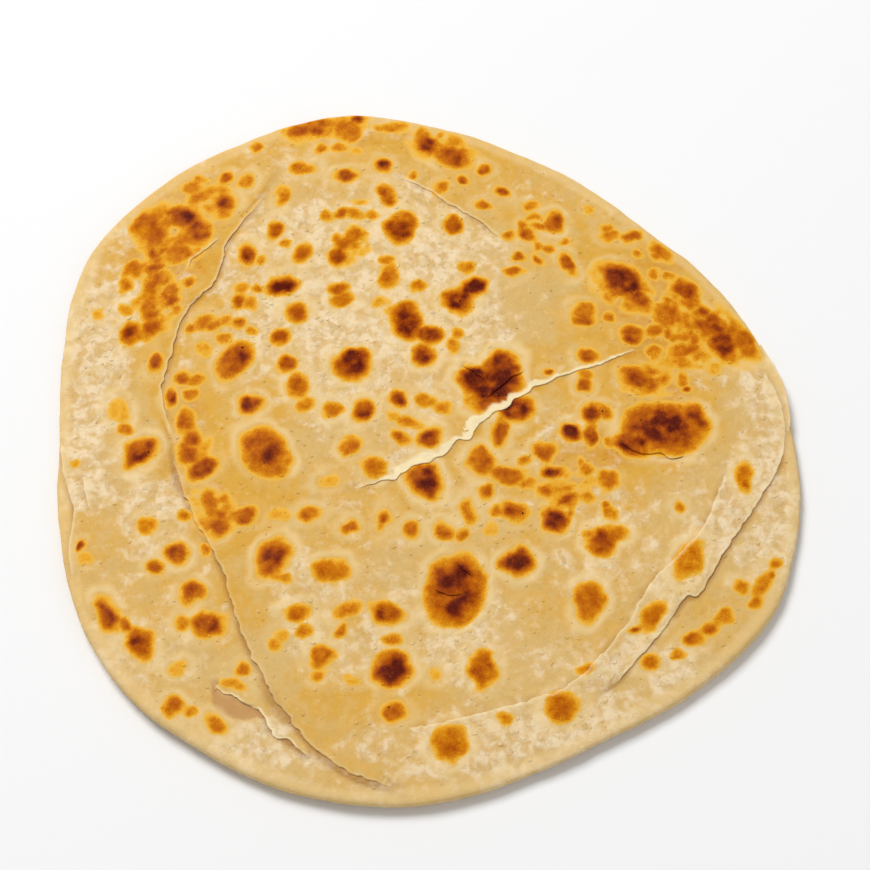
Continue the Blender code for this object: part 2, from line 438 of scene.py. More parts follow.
class Browning:
    """Where the bread is toasted, worked out from its marks."""

    # The toast of a mark's outer part, inside which only browner marks go on darkening.
    SHALLOW = 0.36
    # How far noise bends the marks' outlines, and the size of its lumps.
    WARP = 0.0009
    BEND_SIZE = 0.0046
    # How far past its own size a mark changes the dough.
    MARGIN = 0.012
    # How much the paler of two overlapping marks adds to the browner one.
    OVERLAP = 0.12
    # The widths from which a mark has a full ring and a full dome.
    RING_WIDTH = 0.007
    DOME_WIDTH = 0.008
    # Where a tint's edge, the two sides of a ring and a dome's foot lie outside an outline.
    TINT_EDGE = (0.0025, -0.0035)
    RING_START = (0.0000, 0.0011)
    RING_END = (0.0034, 0.0013)
    DOME_FOOT = 0.0012
    # Golden glow round a mark, and how far out it dies away.
    GLOW = 0.20
    GLOW_REACH = 0.0060

    def __init__(self, seed: int, listed: list[Mark], groups: tuple[Freckles, ...]) -> None:
        """Draw the scattered marks and keep them with the listed ones.

        Args:
            seed: Seed of the scattered marks and of the noise.
            listed: Marks with a place of their own.
            groups: Groups of scattered marks.
        """
        rng = np.random.default_rng(seed)
        self.marks = list(listed)
        for group in groups:
            self.marks.extend(group.scattered(rng))
        self.bend_x = Noise(seed + 1, self.BEND_SIZE, 2)
        self.bend_y = Noise(seed + 2, self.BEND_SIZE, 2)
        self.depth = Noise(seed + 3, 0.0035, 2)
        self.patchy = Noise(seed + 4, 0.009, 2)

    def _level(
        self, mark: Mark, share: np.ndarray, outside: np.ndarray, depth: np.ndarray,
    ) -> np.ndarray:
        """How toasted one mark makes the dough.

        Args:
            mark: The mark.
            share: Distance of the places from its middle, where 1 is on its outline.
            outside: Their distance outside its outline, in metres.
            depth: Noise there.

        Returns:
            The toast.
        """
        shallow = min(mark.toast.value, self.SHALLOW)
        if mark.toast is Toast.TINT:
            return shallow * smooth_step(*self.TINT_EDGE, outside) * (1.0 + 0.9 * depth)
        rise = smooth_step(0.0011, -min(0.0016, 0.30 * mark.width), outside)
        core = smooth_step(0.96, 0.36, share) * (0.92 + 0.34 * depth)
        return rise * (shallow + (mark.toast.value - shallow) * core)

    def tones(self, x: np.ndarray, y: np.ndarray) -> Tones:
        """How toasted, how ringed, how domed and how golden the dough is.

        Args:
            x: Places along X, in metres.
            y: Places along Y, in metres.

        Returns:
            The tones at the places.
        """
        bent_x, bent_y = x + self.WARP * self.bend_x(x, y), y + self.WARP * self.bend_y(x, y)
        toast, ring, dome, glow = (np.zeros(np.shape(x)) for _ in range(4))
        depth, patchy = self.depth(x, y), self.patchy(x, y)
        for mark in self.marks:
            reach = 0.6 * mark.length + self.MARGIN
            near = np.flatnonzero((np.abs(x - mark.x) < reach) & (np.abs(y - mark.y) < reach))
            if not len(near):
                continue
            turn = math.radians(mark.turn)
            away_x, away_y = bent_x[near] - mark.x, bent_y[near] - mark.y
            along = (away_x * math.cos(turn) + away_y * math.sin(turn)) / (0.5 * mark.length)
            across = (away_y * math.cos(turn) - away_x * math.sin(turn)) / (0.5 * mark.width)
            share = np.hypot(along, across)
            outside = (share - 1.0) * 0.5 * mark.width
            level = self._level(mark, share, outside, depth[near])
            low, high = np.minimum(toast[near], level), np.maximum(toast[near], level)
            toast[near] = high + self.OVERLAP * low * (1.0 - high)
            if mark.toast is Toast.TINT:
                continue
            band = smooth_step(*self.RING_START, outside) * smooth_step(*self.RING_END, outside)
            band = band * np.clip(0.8 + 0.9 * patchy[near], 0.3, 1.0)
            ring[near] = np.maximum(ring[near], band * min(1.0, mark.width / self.RING_WIDTH))
            cap = smooth_step(self.DOME_FOOT, -0.35 * mark.width, outside)
            dome[near] = np.maximum(dome[near], cap * min(1.0, mark.width / self.DOME_WIDTH))
            halo = np.exp(-((np.maximum(outside, 0.0) / self.GLOW_REACH) ** 2))
            glow[near] += self.GLOW * mark.toast.value * halo
        toast = np.clip(toast * (1.0 + 0.12 * depth), 0.0, 1.0)
        ring = ring * (1.0 - smooth_step(0.1, 0.5, toast))
        return Tones(toast, ring, dome, np.clip(glow, 0.0, 1.0))


# ------------------------------------------------------------------ layers and skin

@dataclass(frozen=True)
class LayerEdge:
    """The free edge of a layer that lies on another.

    Attributes:
        name: Name of its piece.
        route: Line of the edge, with the upper layer on its left.
        rise: Height of the edge above the layer below, in metres.
        band: How far in the upper layer sinks back, in metres.
        thickness: Thickness of the free edge, in metres.
        ragged: How far the edge strays from its line, in metres.
        ribbon: Width of bare torn dough along it, as pairs of share and metres.
        fade: Length over which it dies out at both ends, in metres.
        inside: Change of the flouriness on the upper layer beside the edge.
        outside: Change of the flouriness on the lower layer beside the edge.
        crease: How strongly the lower layer under the edge is darkened with painted shade, and sunk.
        pale: How pale the rim of the free edge is.
    """

    name: str
    route: Route
    rise: float
    band: float
    thickness: float = 0.0010
    ragged: float = 0.0003
    ribbon: tuple[tuple[float, float], ...] = ((0.0, 0.0), (1.0, 0.0))
    fade: float = 0.012
    inside: float = 0.0
    outside: float = 0.0
    crease: float = 0.7
    pale: float = 0.4

    # Where the body steps up, which is under the sheet that shows the edge.
    STEP = (0.0008, 0.0018)
    # How far out the upper layer's height runs on past the edge for its own sheet.
    RUN_ON = (-0.006, -0.002)
    # The outer and the inner side of the crease along the edge, where the lower layer is sunk and darkened
    # with painted shade.
    CREASE_OUT = (-0.0018, 0.0)
    CREASE_IN = (0.0022, 0.0012)

    def fading(self, along: np.ndarray) -> np.ndarray:
        """Strength of the edge along its line, from 0 at the ends to 1."""
        share = self.fade / self.route.length
        return smooth_step(0.0, share, along) * smooth_step(0.0, share, 1.0 - along)

    def plateau(self, x: np.ndarray, y: np.ndarray, stepped: bool) -> np.ndarray:
        """Height that the upper layer adds to the body.

        Args:
            x: Places along X, in metres.
            y: Places along Y, in metres.
            stepped: Whether it starts with a step, or runs on past the edge.

        Returns:
            The added heights, in metres.
        """
        side, along = self.route.beside(x, y)
        sunk = np.exp(-((np.maximum(side, 0.0) / self.band) ** 2))
        step = smooth_step(*(self.STEP if stepped else self.RUN_ON), side)
        return self.rise * self.fading(along) * sunk * step

    def crease_shade_and_depth(self, x: np.ndarray, y: np.ndarray) -> np.ndarray:
        """How far the lower layer beside the edge is darkened with painted shade, and sunk.

        Args:
            x: Places along X, in metres.
            y: Places along Y, in metres.

        Returns:
            Numbers from 0 to 1.
        """
        side, along = self.route.beside(x, y)
        near = smooth_step(*self.CREASE_OUT, side) * smooth_step(*self.CREASE_IN, side)
        return self.crease * near * self.fading(along)


LAYER_EDGES = (
    LayerEdge(
        name="left_flap",
        route=line_through(
            (-74.5, -22), (-76, -10), (-75, 0), (-78.5, 12), (-77, 22), (-75.5, 31), (-72.8, 40),
            (-69.2, 45.5), (-65.5, 49), (-62.8, 56), (-60.8, 66), (-53, 78), (-47, 89), (-40, 100),
        ),
        rise=0.00030, band=0.022, thickness=0.00045, inside=-0.25, outside=0.20, crease=0.7,
        fade=0.040, ragged=0.0004,
    ),
    LayerEdge(
        name="crown_left_edge",
        route=line_through(
            (-75.5, -4), (-72, -16), (-66, -29), (-58, -44), (-53.5, -58), (-49, -69), (-40, -85),
            (-30, -97), (-19, -104), (-3, -109.5),
        ),
        rise=0.0006, band=0.024, thickness=0.0007, inside=-0.35, outside=0.10, crease=0.8,
        pale=0.2, ragged=0.0005,
    ),
    LayerEdge(
        name="crown_right_edge",
        route=line_through(
            (47, -82), (53, -78), (60, -70), (67, -62), (74, -52.5), (77.5, -51.5), (86, -38), (93.5, -27),
            (101, -15), (104.5, -8), (106.2, 3), (104, 14), (98.5, 26),
        ),
        rise=0.0005, band=0.022, thickness=0.0006, inside=0.28, outside=-0.25, crease=0.8,
    ),
    LayerEdge(
        name="inner_step",
        route=line_through(
            (88, -8), (85, -20), (78, -33), (64, -48), (54, -64), (40, -78), (21, -85), (1, -90),
            (-11, -91),
        ),
        rise=0.0004, band=0.012, thickness=0.0006, ragged=0.0004, inside=0.22, outside=-0.05,
        crease=0.35,
    ),
    LayerEdge(
        name="top_step",
        route=line_through((-14, 91), (-4, 86.5), (7, 79), (19, 70), (27, 61)),
        rise=0.0004, band=0.012, thickness=0.0006, ragged=0.0004, inside=-0.25, outside=0.25,
        crease=0.35,
    ),
    LayerEdge(
        name="flap_crease",
        route=line_through((-72.5, 52), (-72, 58), (-64, 66), (-62, 69)),
        rise=0.0003, band=0.006, thickness=0.0004, fade=0.006, crease=0.2,
    ),
    LayerEdge(
        name="side_pleat",
        route=line_through(
            (-108, 0), (-106.5, -10), (-104, -19), (-101.8, -26), (-102.2, -38), (-100, -50),
        ),
        rise=0.0008, band=0.010, thickness=0.0010, ragged=0.0002, fade=0.008, inside=0.1,
        outside=-0.35,
    ),
    LayerEdge(
        name="inner_pleat",
        route=line_through((-101, -12), (-98.5, -21), (-95.5, -28)),
        rise=0.0004, band=0.006, thickness=0.0006, fade=0.005, crease=0.4,
    ),
    LayerEdge(
        name="right_ply",
        route=line_through((106.2, -4), (108, 6), (106.5, 17), (101, 30)),
        rise=0.0006, band=0.006, thickness=0.0008, ragged=0.0002, fade=0.008, inside=0.2,
        outside=-0.2,
    ),
)

TORN_SEAM = LayerEdge(
    name="torn_seam",
    route=line_through(
        (-28, -20.2), (-18.6, -18.2), (-12.5, -16.4), (-8.8, -16), (-7.6, -14.5), (-5.1, -13.3),
        (-3.6, -11.5), (0, -10.4), (4.6, -8.6), (6.8, -6.5), (9.4, -3.4), (13, -3), (14.8, 0.2),
        (17.5, 3.8), (21.6, 6.6), (25, 8), (26.2, 10.3), (30.8, 12.8), (32.7, 14.8), (36.5, 16.3),
        (43, 19.3), (52.1, 22.2), (61.2, 26.3), (70, 29.8),
    ),
    rise=0.0003, band=0.010, thickness=0.00045, ragged=0.0004, fade=0.014,
    ribbon=(
        (0.00, 0.0000), (0.12, 0.0000), (0.16, 0.0014), (0.20, 0.0028), (0.28, 0.0026),
        (0.33, 0.0021), (0.36, 0.0009), (0.38, 0.0012), (0.41, 0.0036), (0.44, 0.0029),
        (0.48, 0.0020), (0.54, 0.0024), (0.57, 0.0016), (0.60, 0.0013), (0.64, 0.0016),
        (0.70, 0.0010), (0.85, 0.0007), (1.00, 0.0000),
    ),
    inside=0.10, outside=-0.15, crease=0.25,
)
TORN_SKIN = LayerEdge(
    name="torn_skin",
    route=line_through(
        (-60, -77.5), (-55.5, -80.5), (-52, -82.8), (-49, -83.8), (-45.2, -86.5), (-43, -90.5),
        (-41.5, -93), (-37.5, -94.5), (-35, -97), (-30, -100),
    ),
    rise=0.0004, band=0.007, thickness=0.0004, ragged=0.0006, fade=0.004,
    ribbon=((0.0, 0.0), (0.2, 0.0003), (0.5, 0.0005), (0.8, 0.0003), (1.0, 0.0)),
    inside=-0.15, outside=0.0, crease=0.9, pale=0.15,
)


@dataclass(frozen=True)
class Hollow:
    """A narrow hollow between two layers, sunk and darkened with painted shade.

    Attributes:
        route: Line of its middle.
        width: Half of its width, in metres.
        depth: How far it is darkened with painted shade, and sunk, from 0 to 1.
    """

    route: Route
    width: float
    depth: float

    def sunk(self, x: np.ndarray, y: np.ndarray) -> np.ndarray:
        """How far places lie in the hollow, from 0 to its depth, which sets both its painted shade and its
        sinking.
        """
        side, along = self.route.beside(x, y)
        return self.depth * np.exp(-((side / self.width) ** 2)) * np.sin(math.pi * along) ** 0.5


# Hollows between layers, each sunk and darkened with painted shade.
HOLLOWS = (
    Hollow(line_through((-75.2, -3), (-74.2, -10), (-71.2, -21)), 0.0009, 1.0),
    Hollow(line_through((-46, -77.5), (-41.5, -84.5), (-36, -91.5)), 0.0015, 0.75),
    Hollow(line_through((-32, -97), (-20, -105), (-4, -110.2)), 0.0008, 0.9),
    Hollow(line_through((60, -69), (61.5, -70.5), (64, -73.5)), 0.0018, 0.8),
    Hollow(line_through((65, -63.5), (70, -57.5), (73.5, -53)), 0.0007, 0.9),
    Hollow(line_through((48, -81.2), (53, -78.2), (56.5, -75)), 0.0007, 0.8),
    Hollow(line_through((-71.5, 42.5), (-69.8, 44.5), (-67.2, 46.2)), 0.0008, 0.9),
)


def blister_lip(name: str, *points: tuple[float, float]) -> LayerEdge:
    """The lip of a crack in a dark blister.

    Args:
        name: Name of its piece.
        *points: Points of its line, in millimetres.

    Returns:
        The lip as the edge of a layer.
    """
    # Its full crease strength paints shade in the crack beside the lip.
    return LayerEdge(
        name=name, route=line_through(*points), rise=0.00035, band=0.004, thickness=0.0004, ragged=0.0003,
        fade=0.003, crease=1.0, pale=0.0,
    )


BLISTER_LIPS = (
    blister_lip("right_blister_lip", (56, -3.5), (62.8, -7.3), (68.6, -7.6), (72.1, -9.3), (77, -7.6)),
    blister_lip("star_lip_left", (9.5, 22.5), (14, 19.5), (17, 17), (19, 15.5)),
    blister_lip("star_lip_right", (17, 9.5), (21, 13), (25, 17), (30.5, 20.5)),
    blister_lip("round_blister_lip", (7.5, -40), (10.7, -44), (15.0, -47.0)),
    blister_lip("low_blister_lip", (1, -49.5), (6.4, -51.8), (12, -51)),
)


@dataclass(frozen=True)
class Patch:
    """A soft patch where the skin is more, or less, floury or golden.

    Attributes:
        x: Middle along X, in metres.
        y: Middle along Y, in metres.
        length: Reach along X, in metres.
        width: Reach along Y, in metres.
        amount: Change at its middle, below 0 for less.
    """

    x: float
    y: float
    length: float
    width: float
    amount: float

    def change(self, x: np.ndarray, y: np.ndarray) -> np.ndarray:
        """Change that the patch makes at places of the skin."""
        share = ((x - self.x) / self.length) ** 2 + ((y - self.y) / self.width) ** 2
        return self.amount * np.exp(-share)


def patches(*rows: tuple[float, ...]) -> tuple[Patch, ...]:
    """Patches, each from a row of four sizes in millimetres and the change at its middle."""
    return tuple(Patch(*(0.001 * size for size in row[:4]), row[4]) for row in rows)


SKIN_PATCHES = patches(
    (-30, 55, 30, 28, 0.55), (2, 58, 24, 24, 0.55), (-18, 32, 30, 18, 0.35), (14, 30, 16, 12, 0.25),
    (-99, 12, 12, 34, 0.60), (-96, 42, 10, 16, 0.35), (-75, -27, 12, 12, 0.40), (-88, -72, 14, 14, 0.30),
    (-45, -95, 20, 9, 0.45), (22, -96, 36, 11, 0.65), (62, -74, 22, 11, 0.60), (92, -25, 12, 30, 0.50),
    (106, -18, 7, 30, 0.45), (-35, -52, 17, 16, 0.40), (12, -68, 24, 14, 0.45), (52, -30, 16, 16, 0.28),
    (-20, 3, 26, 12, 0.28), (96, 12, 10, 14, 0.40), (-62, -72, 22, 12, 0.18), (-20, -97, 20, 8, 0.25),
    (0, 96, 42, 12, -0.30), (44, 66, 34, 28, -0.25), (40, 38, 22, 20, -0.18), (78, 40, 22, 28, -0.38),
    (-66, 62, 14, 40, -0.30), (-40, -8, 26, 14, -0.26), (-56, -30, 14, 24, -0.35), (80, 2, 26, 16, -0.30),
    (-22, -90, 26, 14, -0.40), (-52, -58, 10, 24, -0.32), (88, -56, 16, 16, -0.30),
    (-82, 12, 10, 14, -0.45), (-92, -36, 7, 12, -0.35), (34, -66, 20, 12, -0.22), (10, -36, 40, 10, -0.15),
    (60, -10, 16, 14, -0.20), (-80, -26, 10, 8, 0.35), (-82, -48, 12, 10, 0.20), (72, -50, 12, 12, 0.25),
    (18, -62, 14, 8, 0.20), (-11, -18, 14, 8, 0.20), (44, -46, 14, 10, 0.15),
)
GOLD_PATCHES = patches(
    (-78, 65, 22, 30, 0.55), (-16, 103, 28, 8, 0.35), (41, 70, 30, 22, 0.08), (71, 30, 26, 30, 0.45),
    (49, -12, 22, 14, 0.30), (26, -1, 14, 10, 0.15), (-55, -22, 16, 12, 0.45), (-71, -2, 8, 20, 0.35),
    (-22, -88, 24, 10, 0.15), (-66, 40, 12, 20, 0.12), (22, 96, 24, 10, 0.08),
)


class Skin:
    """The dough's skin: how floury, golden, torn and bare it is, and how far its creases are sunk and
    darkened with painted shade.
    """

    # Corners of the hole torn in the top skin, anticlockwise.
    HOLE = (
        (-0.0600, -0.0775), (-0.0580, -0.0860), (-0.0535, -0.0884), (-0.0460, -0.0876),
        (-0.0460, -0.0860),
    )
    # How floury and how golden the skin is, and how far noise changes each.
    FLOUR, FLOUR_CHANGE = 0.42, 0.20
    GOLD, GOLD_CHANGE = 0.22, 0.16
    # The lower layer's tone starts a little under the free edge that hides its start.
    UNDER_EDGE = 0.0010
    # How far from an edge its two sides differ.
    EDGE_REACH = 0.008
    # How far the hole's outline strays from its corners' lines.
    HOLE_STRAY = 0.0008

    def __init__(self, edges: tuple[LayerEdge, ...]) -> None:
        """Keep the edges whose sides differ.

        Args:
            edges: The edges.
        """
        self.edges = edges
        self.mottle = Noise(31, 0.011, 4)
        self.hue = Noise(35, 0.016, 3)
        self.stray = Noise(33, 0.004, 2)

    def floury(self, x: np.ndarray, y: np.ndarray, shown: LayerEdge | None = None) -> np.ndarray:
        """How floury the skin is, from 0 for oily to 1.

        Args:
            x: Places along X, in metres.
            y: Places along Y, in metres.
            shown: The edge whose sheet is being dressed, if any.

        Returns:
            The flouriness.
        """
        flour = self.FLOUR + self.FLOUR_CHANGE * self.mottle(x, y)
        for patch in SKIN_PATCHES:
            flour += patch.change(x, y)
        for edge in self.edges:
            side, along = edge.route.beside(x, y)
            near = np.exp(-((side / self.EDGE_REACH) ** 2)) * edge.fading(along)
            inside = (side > self.UNDER_EDGE) | (edge is shown)
            flour += near * np.where(inside, edge.inside, edge.outside)
        return np.clip(flour, 0.0, 1.0)

    def golden(self, x: np.ndarray, y: np.ndarray) -> np.ndarray:
        """How golden the oily skin is, from 0 for beige to 1.

        Args:
            x: Places along X, in metres.
            y: Places along Y, in metres.

        Returns:
            The goldenness.
        """
        gold = self.GOLD + self.GOLD_CHANGE * self.hue(x, y)
        for patch in GOLD_PATCHES:
            gold += patch.change(x, y)
        return np.clip(gold, 0.0, 1.0)

    def crease_shade_and_depth(self, x: np.ndarray, y: np.ndarray, shown: LayerEdge | None = None) -> np.ndarray:
        """How far the skin beside the edges and in the hollows is darkened with painted shade, and sunk.

        Args:
            x: Places along X, in metres.
            y: Places along Y, in metres.
            shown: The edge that is left out, as its sheet is being dressed, if any.

        Returns:
            Numbers from 0 to 1.
        """
        crease = np.zeros(np.shape(x))
        for edge in self.edges:
            if edge is not shown:
                crease = np.maximum(crease, edge.crease_shade_and_depth(x, y))
        for hollow in HOLLOWS:
            crease = np.maximum(crease, hollow.sunk(x, y))
        return crease

    def raised(self, x: np.ndarray, y: np.ndarray, shown: LayerEdge | None = None) -> np.ndarray:
        """Height that the upper layers add, with no step under the edge being shown."""
        return sum(edge.plateau(x, y, stepped=edge is not shown) for edge in self.edges)

    def torn(self, x: np.ndarray, y: np.ndarray) -> np.ndarray:
        """Where the top skin is torn off the layer below.

        Args:
            x: Places along X, in metres.
            y: Places along Y, in metres.

        Returns:
            Numbers from 0 to 1.
        """
        shift_x, shift_y = self.stray(x, y), self.stray(y, x)
        x, y = x + self.HOLE_STRAY * shift_x, y + self.HOLE_STRAY * shift_y
        inside = np.full(np.shape(x), np.inf)
        for start, end in zip(self.HOLE, self.HOLE[1:] + self.HOLE[:1]):
            run_x, run_y = end[0] - start[0], end[1] - start[1]
            gap = (run_x * (y - start[1]) - run_y * (x - start[0])) / math.hypot(run_x, run_y)
            inside = np.minimum(inside, gap)
        return smooth_step(-0.0002, 0.0004, inside)


# ------------------------------------------------------------------ the bread's form

class Form:
    """The bread's outline and the height of its top and underside, from its solid."""

    # Radius of the rolled rim.
    ROLL = 0.0018
    # Heights of the rim and of the middle, as shares of the solid's height.
    RIM_SHARE = 0.60
    MIDDLE_SHARE = 0.76
    FALL_POWER = 6.0
    # The rim is fuller on one side.
    PUFF_BEARING = math.radians(232.0)
    PUFF_SPREAD = math.radians(34.0)
    PUFF_RISE = 0.0012
    # The thin far rim flares out a little.
    FAR_BEARING = math.radians(125.0)
    FAR_FLARE = 0.0010
    # How the rim is read: the solid's widest heights, its bearings, and how far it is smoothed.
    WIDEST = (0.0010, 0.0037)
    BEARINGS = 720
    SMOOTHING = 8
    SMOOTHING_SPREAD = 3.0
    RIM_STRAY = 0.00035
    RIM_WAVE = 0.0003
    UNDER_LIFT = 0.0011
    SWELL = 0.00045
    WAVE = 0.00012
    BLISTER_RISE = 0.00042
    RING_RISE = 0.00022
    TEAR_DEPTH = 0.0006
    CREASE_DEPTH = 0.00016
    # How much of the relief is left out at the rim.
    RIM_CALM = 0.7

    def __init__(self, browning: Browning, skin: Skin) -> None:
        """Read the rim's reach from the solid.

        Args:
            browning: Where the blisters and their rings are.
            skin: Where the skin is creased, torn or raised.
        """
        self.browning, self.skin = browning, skin
        self.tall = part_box(NODE)[1].z
        self.bearings, self.reaches = self._read_rim()
        self.slow = Noise(51, 0.055, 2)
        self.wavy = Noise(52, 0.014, 3)
        self.rim_wave = Noise(53, 0.016, 3)

    def _read_rim(self) -> tuple[np.ndarray, np.ndarray]:
        """Read the rim from the widest part of the solid.

        Returns:
            Even bearings, and the rim's reach at each.
        """
        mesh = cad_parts[NODE].data
        points = np.zeros(len(mesh.vertices) * 3, np.float32)
        mesh.vertices.foreach_get("co", points)
        points = points.reshape(-1, 3).astype(float)
        low, high = self.WIDEST
        widest = points[(points[:, 2] > low) & (points[:, 2] < high)]
        bearing = np.arctan2(widest[:, 1], widest[:, 0])
        reach = np.hypot(widest[:, 0], widest[:, 1])
        order = np.argsort(bearing)
        even = np.linspace(-math.pi, math.pi, self.BEARINGS, endpoint=False)
        read = np.interp(even, bearing[order], reach[order], period=math.tau)
        half = self.SMOOTHING
        spread = np.exp(-0.5 * (np.arange(-half, half + 1) / self.SMOOTHING_SPREAD) ** 2)
        wrapped = np.concatenate([read[-half:], read, read[:half]])
        return even, np.convolve(wrapped, spread / spread.sum(), mode="valid")

    def reach(self, bearing: np.ndarray) -> np.ndarray:
        """Distance from the middle to the rim.

        Args:
            bearing: Bearings, in radians from X.

        Returns:
            The distances, in metres.
        """
        reach = np.interp(bearing, self.bearings, self.reaches, period=math.tau)
        reach = reach + self.FAR_FLARE * smooth_step(0.5, 1.0, np.cos(bearing - self.FAR_BEARING))
        x, y = 0.1 * np.cos(bearing), 0.1 * np.sin(bearing)
        return reach + self.RIM_STRAY * self.rim_wave(x, y)

    def rim_height(self, bearing: np.ndarray) -> np.ndarray:
        """Height of the top where the rim's roll starts.

        Args:
            bearing: Bearings, in radians from X.

        Returns:
            The heights, in metres.
        """
        turn = (bearing - self.PUFF_BEARING + math.pi) % math.tau - math.pi
        x, y = 0.1 * np.cos(bearing), 0.1 * np.sin(bearing)
        puff = self.PUFF_RISE * np.exp(-((turn / self.PUFF_SPREAD) ** 2))
        return self.RIM_SHARE * self.tall + puff + self.RIM_WAVE * self.rim_wave(y, x)

    def lift(self, x: np.ndarray, y: np.ndarray) -> np.ndarray:
        """Height of the underside above the ground, in metres."""
        share = np.hypot(x, y) / self.reach(np.arctan2(y, x))
        return self.UNDER_LIFT * smooth_step(0.55, 1.0, share) * (1.0 + self.slow(y, x))

    def top(self, x: np.ndarray, y: np.ndarray, shown: LayerEdge | None = None) -> np.ndarray:
        """Height of the body's top, in metres.

        Args:
            x: Places along X, in metres.
            y: Places along Y, in metres.
            shown: The edge whose sheet is being laid there, if any.

        Returns:
            The heights.
        """
        bearing = np.arctan2(y, x)
        share = np.clip(np.hypot(x, y) / (self.reach(bearing) - self.ROLL), 0.0, 1.0)
        fall = share ** self.FALL_POWER
        tones = self.browning.tones(x, y)
        relief = self.SWELL * self.slow(x, y) + self.WAVE * self.wavy(x, y)
        relief += self.BLISTER_RISE * tones.dome + self.RING_RISE * tones.ring
        relief -= self.TEAR_DEPTH * self.skin.torn(x, y)
        relief -= self.CREASE_DEPTH * self.skin.crease_shade_and_depth(x, y, shown)
        relief += self.skin.raised(x, y, shown)
        middle = self.MIDDLE_SHARE * self.tall
        relief = relief * (1.0 - self.RIM_CALM * fall)
        return middle + (self.rim_height(bearing) - middle) * fall + relief


# ------------------------------------------------------------------ meshes

def place_object(name: str, data: bpy.types.ID | None) -> bpy.types.Object:
    """Put an object with its data in the scene.

    Args:
        name: The object's name.
        data: Its mesh, light or camera.

    Returns:
        The object.
    """
    made = bpy.data.objects.new(name, data)
    bpy.context.scene.collection.objects.link(made)
    return made


class Dough:
    """A mesh piece of dough, with what its finish needs stored on its points."""

    def __init__(self, name: str, points: np.ndarray, faces: list[tuple[int, ...]]) -> None:
        """Make the mesh object.

        Args:
            name: Name of the piece.
            points: Its points, in metres.
            faces: Its faces, as indices of points, which point outwards.
        """
        self.name = name
        mesh = bpy.data.meshes.new(name)
        mesh.from_pydata(points.tolist(), [], faces)
        mesh.validate()
        mesh.shade_smooth()
        self.piece = place_object(name, mesh)

    def read(self, layer: str, width: int) -> np.ndarray:
        """Read numbers of the mesh's points.

        Args:
            layer: Which numbers: "co" for places or "normal" for normals.
            width: How many numbers a point has.

        Returns:
            The numbers, a row for each point.
        """
        points = self.piece.data.vertices
        values = np.zeros(len(points) * width, np.float32)
        points.foreach_get(layer, values)
        return values.reshape(-1, width).astype(float)

    def store(self, **fields: np.ndarray) -> None:
        """Store numbers on the mesh's points.

        Args:
            **fields: A number for each point, under the attribute's name.
        """
        for name, values in fields.items():
            stored = self.piece.data.attributes.new(name, "FLOAT", "POINT")
            stored.data.foreach_set("value", np.asarray(values, np.float32))

    def hand_over(self) -> None:
        """Hang the piece on the bread's body and hide the solid that it stands for."""
        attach(self.piece, BODY)
        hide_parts(NODE)
        LOG.info("%s: %d faces", self.name, len(self.piece.data.polygons))


